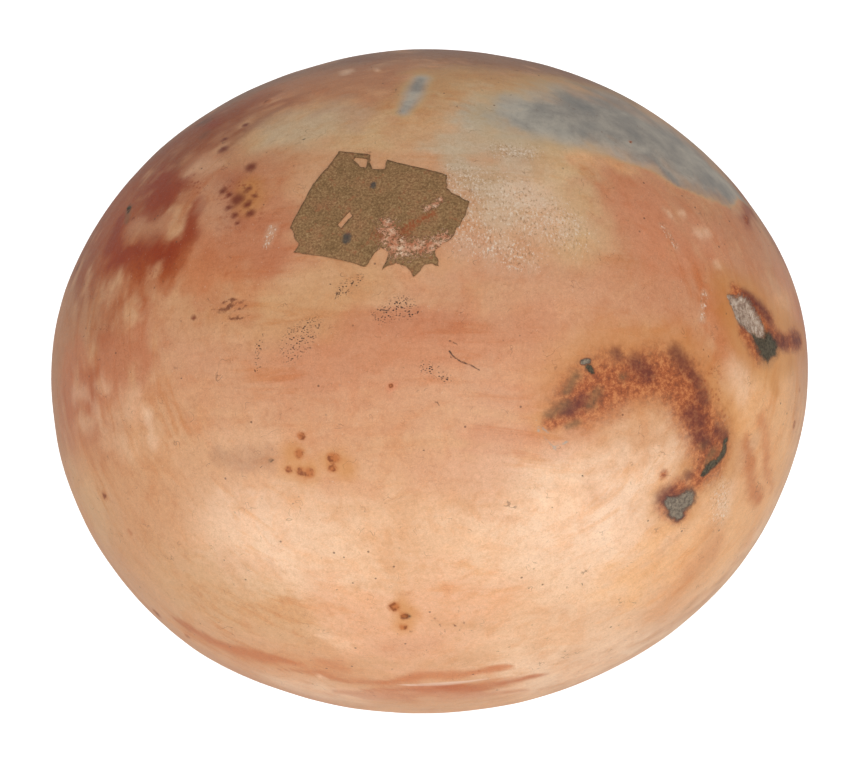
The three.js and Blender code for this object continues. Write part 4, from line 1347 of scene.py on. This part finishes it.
def make_handle():
    """One stick of hardwood, whittled round: a butt to stand on, a waisted grip, a shoulder and a tenon."""
    line, shoulder = handle_line()
    vertices, faces = lathe(line * MM, HANDLE_COLUMNS)
    angle, _ = polar(vertices)
    z = vertices[:, 2] / MM
    cuts = knife_cuts(10, 132, 26, 12, 0.045, 5) + knife_cuts(2, 8, 9, 14, 0.03, 6)
    cuts += knife_cuts(shoulder + 4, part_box("handle")[1].z / MM, 18, 9, 0.05, 7)
    kept = whittled(angle, z, cuts)
    near_joint = smoothstep(z, shoulder - 14, shoulder - 8) * smoothstep(z, shoulder + 3, shoulder)
    kept = kept * (1 - near_joint) + near_joint
    uneven = 1 - 0.012 * (1 + wander(vertices / MM, 16, 91, 2)) * (1 - near_joint) * smoothstep(z, 2, 8)
    vertices[:, :2] *= (kept * uneven)[:, None]
    polish = {"Coat_Weight": 0.15, "Coat_Roughness": 0.35}
    wood = wood_material("handle_wood", srgb(150, 104, 66), srgb(96, 58, 34), 2.6 * MM, **polish)
    piece = make_piece("whittled_handle", vertices, faces, "handle", "rattle", wood)
    drill_peg_holes(piece)


def peg_place(node):
    """Where a peg sits, as a matrix: its middle is the origin, and local Z points out from the handle."""
    low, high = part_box(node)
    middle = (low + high) / 2
    outward = Vector((middle.x, middle.y, 0)).normalized()
    return Matrix.Translation(middle) @ outward.to_track_quat("Z", "Y").to_matrix().to_4x4()


def transformed(vertices, matrix):
    return vertices @ np.array(matrix.to_3x3()).T + np.array(matrix.translation)


def drill_peg_holes(piece):
    """Cuts a hole for each peg through the neck and into the tenon."""
    cutters = bpy.data.meshes.new("peg_holes")
    vertices, faces = [], []
    inner, outer = -PEG_LENGTH / 2 - 0.2 * MM, PEG_LENGTH / 2 + 3 * MM
    radius = PEG_RADIUS + 0.08 * MM
    line = np.array([(0, outer), (radius, outer), (radius, inner), (0, inner)])
    for node in PEG_NODES:
        tube, sides = lathe(line, BORE_SIDES)
        faces += [tuple(i + len(vertices) for i in face) for face in sides]
        vertices += transformed(tube, peg_place(node)).tolist()
    cutters.from_pydata(vertices, [], faces)
    drill = placed("peg_holes", cutters)
    cut = piece.modifiers.new("peg_holes", "BOOLEAN")
    cut.operation, cut.solver, cut.object = "DIFFERENCE", "MANIFOLD", drill
    bpy.context.view_layer.update()
    drilled = bpy.data.meshes.new_from_object(piece.evaluated_get(bpy.context.evaluated_depsgraph_get()))
    piece.modifiers.clear()
    piece.data = drilled
    bpy.data.objects.remove(drill)


def make_pegs():
    """Short tapered pegs, split from paler wood and cut to eight rough sides."""
    wood = wood_material("peg_wood", srgb(188, 150, 102), srgb(140, 100, 62), 0.9 * MM, Roughness=0.6)
    half, bevel = PEG_LENGTH / 2, 0.25 * MM
    for number, node in enumerate(PEG_NODES):
        z = np.linspace(half - bevel, -half + bevel, 24)
        radius = np.interp(z, [-half, half], [0.82 * PEG_RADIUS, PEG_RADIUS])
        side = np.column_stack([radius, z])
        head, foot = [(0, half), (0.75 * PEG_RADIUS, half)], [(0.55 * PEG_RADIUS, -half), (0, -half)]
        line = np.vstack([head, side, foot])
        vertices, faces = lathe(line, PEG_SIDES)
        angle, _ = polar(vertices)
        cuts = knife_cuts(-5, 5, 12, 8, 0.06, 20 + number)
        vertices[:, :2] *= whittled(angle, vertices[:, 2] / MM, cuts)[:, None]
        vertices = transformed(vertices, peg_place(node))
        make_piece(f"whittled_peg_{number + 1}", vertices, faces, node, "rattle", wood)


# ---------------------------------------------------------------- the joint: pitch and cord

CORD_RADIUS = 1.08 * MM
CORD_TURNS = 10
CORD_PITCH = 2.25 * MM
CORD_LAY = 7.5 * MM
CORD_SIDES = 15
CORD_STEP = 0.65 * MM
CORD_TUCK = 9 * MM
SEAL_COLUMNS = 150


def ring(section, columns):
    """Vertices and faces of a closed section turned about the axis. It runs anticlockwise in (radius, z)."""
    angle = np.arange(columns) * 2 * math.pi / columns
    section = np.array(section)
    radius, z = section[:, 0][None, :], section[:, 1][None, :]
    x, y = radius * np.cos(angle)[:, None], radius * np.sin(angle)[:, None]
    vertices = np.stack([x, y, np.broadcast_to(z, x.shape)], axis=2).reshape(-1, 3)
    rows = len(section)
    faces = []
    for column in range(columns):
        after = (column + 1) % columns
        for row in range(rows):
            below = (row + 1) % rows
            here, there = column * rows, after * rows
            faces.append((here + row, there + row, there + below, here + below))
    return vertices, faces


def pitch_material():
    """Cooled pitch: nearly black, glossy, with amber where it is thin and dust in its dents."""
    tree = Tree("pitch", Roughness=0.3, Coat_Weight=0.4, Coat_Roughness=0.15, IOR=1.54)
    where = tree.place()
    lump = tree.noise(600, where, 4, 0.6)
    colour = tree.ramp(lump, (0.35, srgb(34, 22, 16)), (0.6, srgb(58, 34, 20)), (0.75, srgb(96, 58, 28)))
    dust = tree.noise(2400, where, 3, 0.7)
    colour = tree.mix(tree.ease(dust, 0.6, 0.75, 0, 0.35), colour, srgb(150, 132, 108))
    tree.shade("Base Color", colour)
    tree.shade("Roughness", tree.ease(dust, 0.4, 0.75, 0.22, 0.6))
    tree.shade("Normal", tree.bump(lump, 0.0004, 0.7))
    return tree.material


def make_seal():
    """The bed of pitch that the neck's lip was pressed into."""
    low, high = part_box("joint_seal")
    inner, outer = TENON_RADIUS * MM + 0.2 * MM, NECK_RADIUS
    middle, half = (low.z + high.z) / 2, (high.z - low.z) / 2
    turn = np.linspace(-math.pi / 2, math.pi / 2, 10)
    edge = [(outer - half + half * math.cos(a), middle + half * math.sin(a)) for a in turn]
    back = [(inner, z) for z in np.linspace(high.z, low.z, 6)]
    vertices, faces = ring(edge + back, SEAL_COLUMNS)
    angle, away = polar(vertices)
    squeezed = smoothstep(away, inner + 1 * MM, outer) * 0.3 * MM * wander(vertices / MM, 5, 101, 2)
    vertices[:, 0] += squeezed * np.cos(angle)
    vertices[:, 1] += squeezed * np.sin(angle)
    make_piece("pitch_bed", vertices, faces, "joint_seal", "rattle", pitch_material())


def cord_material():
    """Waxed cotton cord: three strands of fine yarn, painted shade in the grooves between the strands so the
    crests look pale, and patchy dirt.
    """
    tree = Tree("waxed_cord", Roughness=0.78, Sheen_Weight=0.15, Sheen_Roughness=0.5)
    where = tree.place()
    lay = tree.attribute("lay", "Vector")
    twist = {"Scale": 1.15, "Distortion": 1.2, "Detail": 3.0, "Detail Scale": 2.0}
    yarn = tree.node("TexWave", {"Vector": lay, **twist}, 1)
    fuzz = tree.noise(5200, where, 3, 0.7)
    colour = tree.mix(tree.ease(yarn, 0.2, 0.8), srgb(128, 98, 62), srgb(182, 150, 104))
    # Painted shade: darker in the grooves between the strands.
    colour = tree.mix(tree.ease(tree.attribute("strand"), 0.62, 0.1, 0, 0.85), colour, srgb(62, 42, 26))
    dirt = tree.noise(190, where, 4, 0.6)
    colour = tree.tint(colour, tree.ease(dirt, 0.45, 0.7, 0, 0.6), (0.52, 0.44, 0.36))
    colour = tree.mix(tree.ease(fuzz, 0.55, 0.75, 0, 0.45), colour, srgb(206, 180, 138))
    tree.shade("Base Color", colour)
    skin = tree.bump(yarn, 0.0001, 0.8)
    tree.shade("Normal", tree.bump(fuzz, 0.00008, 0.6, skin))
    return tree.material


def make_binding():
    """A three-strand cord wound tight over the joint and the pegs, with both ends tucked in."""
    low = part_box("neck_binding")[0]
    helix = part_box("neck_binding")[1].x - 1.0 * MM
    length = CORD_TURNS * math.hypot(2 * math.pi * helix, CORD_PITCH)
    steps = round(length / CORD_STEP)
    along = np.linspace(0, length, steps + 1)
    turn = along / length * CORD_TURNS * 2 * math.pi
    rows = np.column_stack([along / MM, turn * 0, turn * 0])
    from_end = np.minimum(along, length - along)
    tucked = 1 - smoothstep(from_end, 0, CORD_TUCK)
    radius = helix + 0.04 * MM * wander(rows, 23, 111, 2) - 0.25 * MM * tucked
    toward = np.where(along < length / 2, 1, -1)
    z = low.z + 1.0 * MM + turn / (2 * math.pi) * CORD_PITCH
    z = z + 0.05 * MM * wander(rows, 31, 113, 2) + 0.35 * MM * tucked * toward
    outward = np.column_stack([np.cos(turn), np.sin(turn), 0 * turn])
    centre = outward * radius[:, None] + np.column_stack([0 * z, 0 * z, z])
    thick = CORD_RADIUS * (1 - 0.55 * tucked**2)

    phi = np.arange(CORD_SIDES) * 2 * math.pi / CORD_SIDES
    strand_angle = phi[None, :] - (along / CORD_LAY * 2 * math.pi)[:, None]
    crest = np.abs(np.cos(1.5 * strand_angle)) ** 0.7
    reach = thick[:, None] * (0.76 + 0.24 * crest)
    side = reach * np.cos(phi)[None, :]
    rise = reach * np.sin(phi)[None, :]
    up = np.array([0, 0, 1.0])
    grid = centre[:, None, :] + outward[:, None, :] * side[:, :, None] + up * rise[:, :, None]
    first, last = centre[:1] * 1.0, centre[-1:] * 1.0
    vertices = np.vstack([grid.reshape(-1, 3), first, last])
    faces = []
    for row in range(steps):
        for i in range(CORD_SIDES):
            j = (i + 1) % CORD_SIDES
            a, b = row * CORD_SIDES + i, row * CORD_SIDES + j
            faces.append((a, a + CORD_SIDES, b + CORD_SIDES, b))
    start, end = len(vertices) - 2, len(vertices) - 1
    final = steps * CORD_SIDES
    for i in range(CORD_SIDES):
        j = (i + 1) % CORD_SIDES
        faces.append((start, i, j))
        faces.append((end, final + j, final + i))
    piece = make_piece("twisted_binding", vertices, faces, "neck_binding", "rattle", cord_material())
    # How high each point lies on its strand, 1 on the crests; the material paints shade in the grooves from
    # it.
    set_field(piece.data, "strand", np.concatenate([crest.ravel(), [0, 0]]))
    across = (strand_angle * thick[:, None] / MM).ravel()
    down = np.repeat(along / MM, CORD_SIDES)
    lay = np.zeros((len(vertices), 3))
    lay[:-2, 0] = across
    lay[:-2, 1] = down * 0.18
    set_vector(piece.data, "lay", lay)


# ---------------------------------------------------------------- the seeds

SEED_COUNT = 26
SEED_RADIUS = 3.7 * MM
SEED_WIDTH = (0.86, 0.1)
SEED_DEPTH = (0.84, 0.08)
SEED_ROWS = 26
SEED_SIDES = 44


def seed_material():
    """Hard dry seed coats: dark brown, mottled, half glossy, with painted shade in the folds and a pale scar
    where each seed grew.
    """
    tree = Tree("dry_seed", Roughness=0.38, Coat_Weight=0.25, Coat_Roughness=0.3)
    where = tree.place()
    mottle = tree.noise(700, where, 4, 0.65)
    fine = tree.noise(3600, where, 3, 0.6)
    colour = tree.ramp(mottle, (0.32, srgb(38, 24, 16)), (0.5, srgb(74, 46, 28)), (0.7, srgb(122, 84, 52)))
    # Painted shade: darker in the folds.
    colour = tree.mix(tree.ease(tree.attribute("groove"), 0.2, 0.9, 0, 0.6), colour, srgb(30, 19, 13))
    colour = tree.mix(tree.ease(tree.attribute("scar"), 0.0, 0.35), colour, srgb(176, 146, 104))
    colour = tree.mix(tree.ease(fine, 0.58, 0.74, 0, 0.35), colour, srgb(150, 124, 92))
    tree.shade("Base Color", colour)
    tree.shade("Roughness", tree.ease(fine, 0.3, 0.75, 0.3, 0.62))
    tree.shade("Normal", tree.bump(fine, 0.00008, 0.5))
    return tree.material


def turn_matrix(x, y, z):
    """A turn about Z, then Y, then X."""
    return Matrix.Rotation(x, 4, "X") @ Matrix.Rotation(y, 4, "Y") @ Matrix.Rotation(z, 4, "Z")


def make_seeds():
    """Each seed is a shrivelled oval that fills its CAD solid, and rides on its own body."""
    finish = seed_material()
    angle = np.linspace(0, math.pi, SEED_ROWS + 1)
    line = np.column_stack([np.sin(angle), np.cos(angle)])
    ball, faces = lathe(line, SEED_SIDES)
    for number in range(1, SEED_COUNT + 1):
        node = f"seed_{number:02d}"
        low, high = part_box(node)
        width = SEED_WIDTH[0] + SEED_WIDTH[1] * math.sin(number * 2.4)
        depth = SEED_DEPTH[0] + SEED_DEPTH[1] * math.cos(number * 1.7)
        shift = np.array([[number * 9.7, 0, 0]])
        folds = np.abs(wander(ball + shift, 0.75, 121, 2))
        dimple = np.clip(1 - np.linalg.norm(ball - np.array([0.93, 0.2, 0.3]), axis=1) / 0.3, 0, 1)
        groove = 1 - smoothstep(folds, 0.0, 0.22)
        reach = 0.97 - 0.05 * groove - 0.1 * dimple**0.5 + 0.02 * wander(ball + shift, 0.9, 123, 1)
        shaped = ball * reach[:, None] * np.array([1, width, depth]) * SEED_RADIUS
        place = Matrix.Translation((low + high) / 2) @ turn_matrix(number * 1.1, number * 0.7, number * 2.3)
        vertices = transformed(shaped, place)
        piece = make_piece(f"dry_seed_{number:02d}", vertices, faces, node, node, finish)
        # Where the folds lie; the material paints shade there.
        set_field(piece.data, "groove", groove)
        set_field(piece.data, "scar", dimple)


make_stage()
make_rind()
make_label()
make_handle()
make_pegs()
make_seal()
make_binding()
make_seeds()
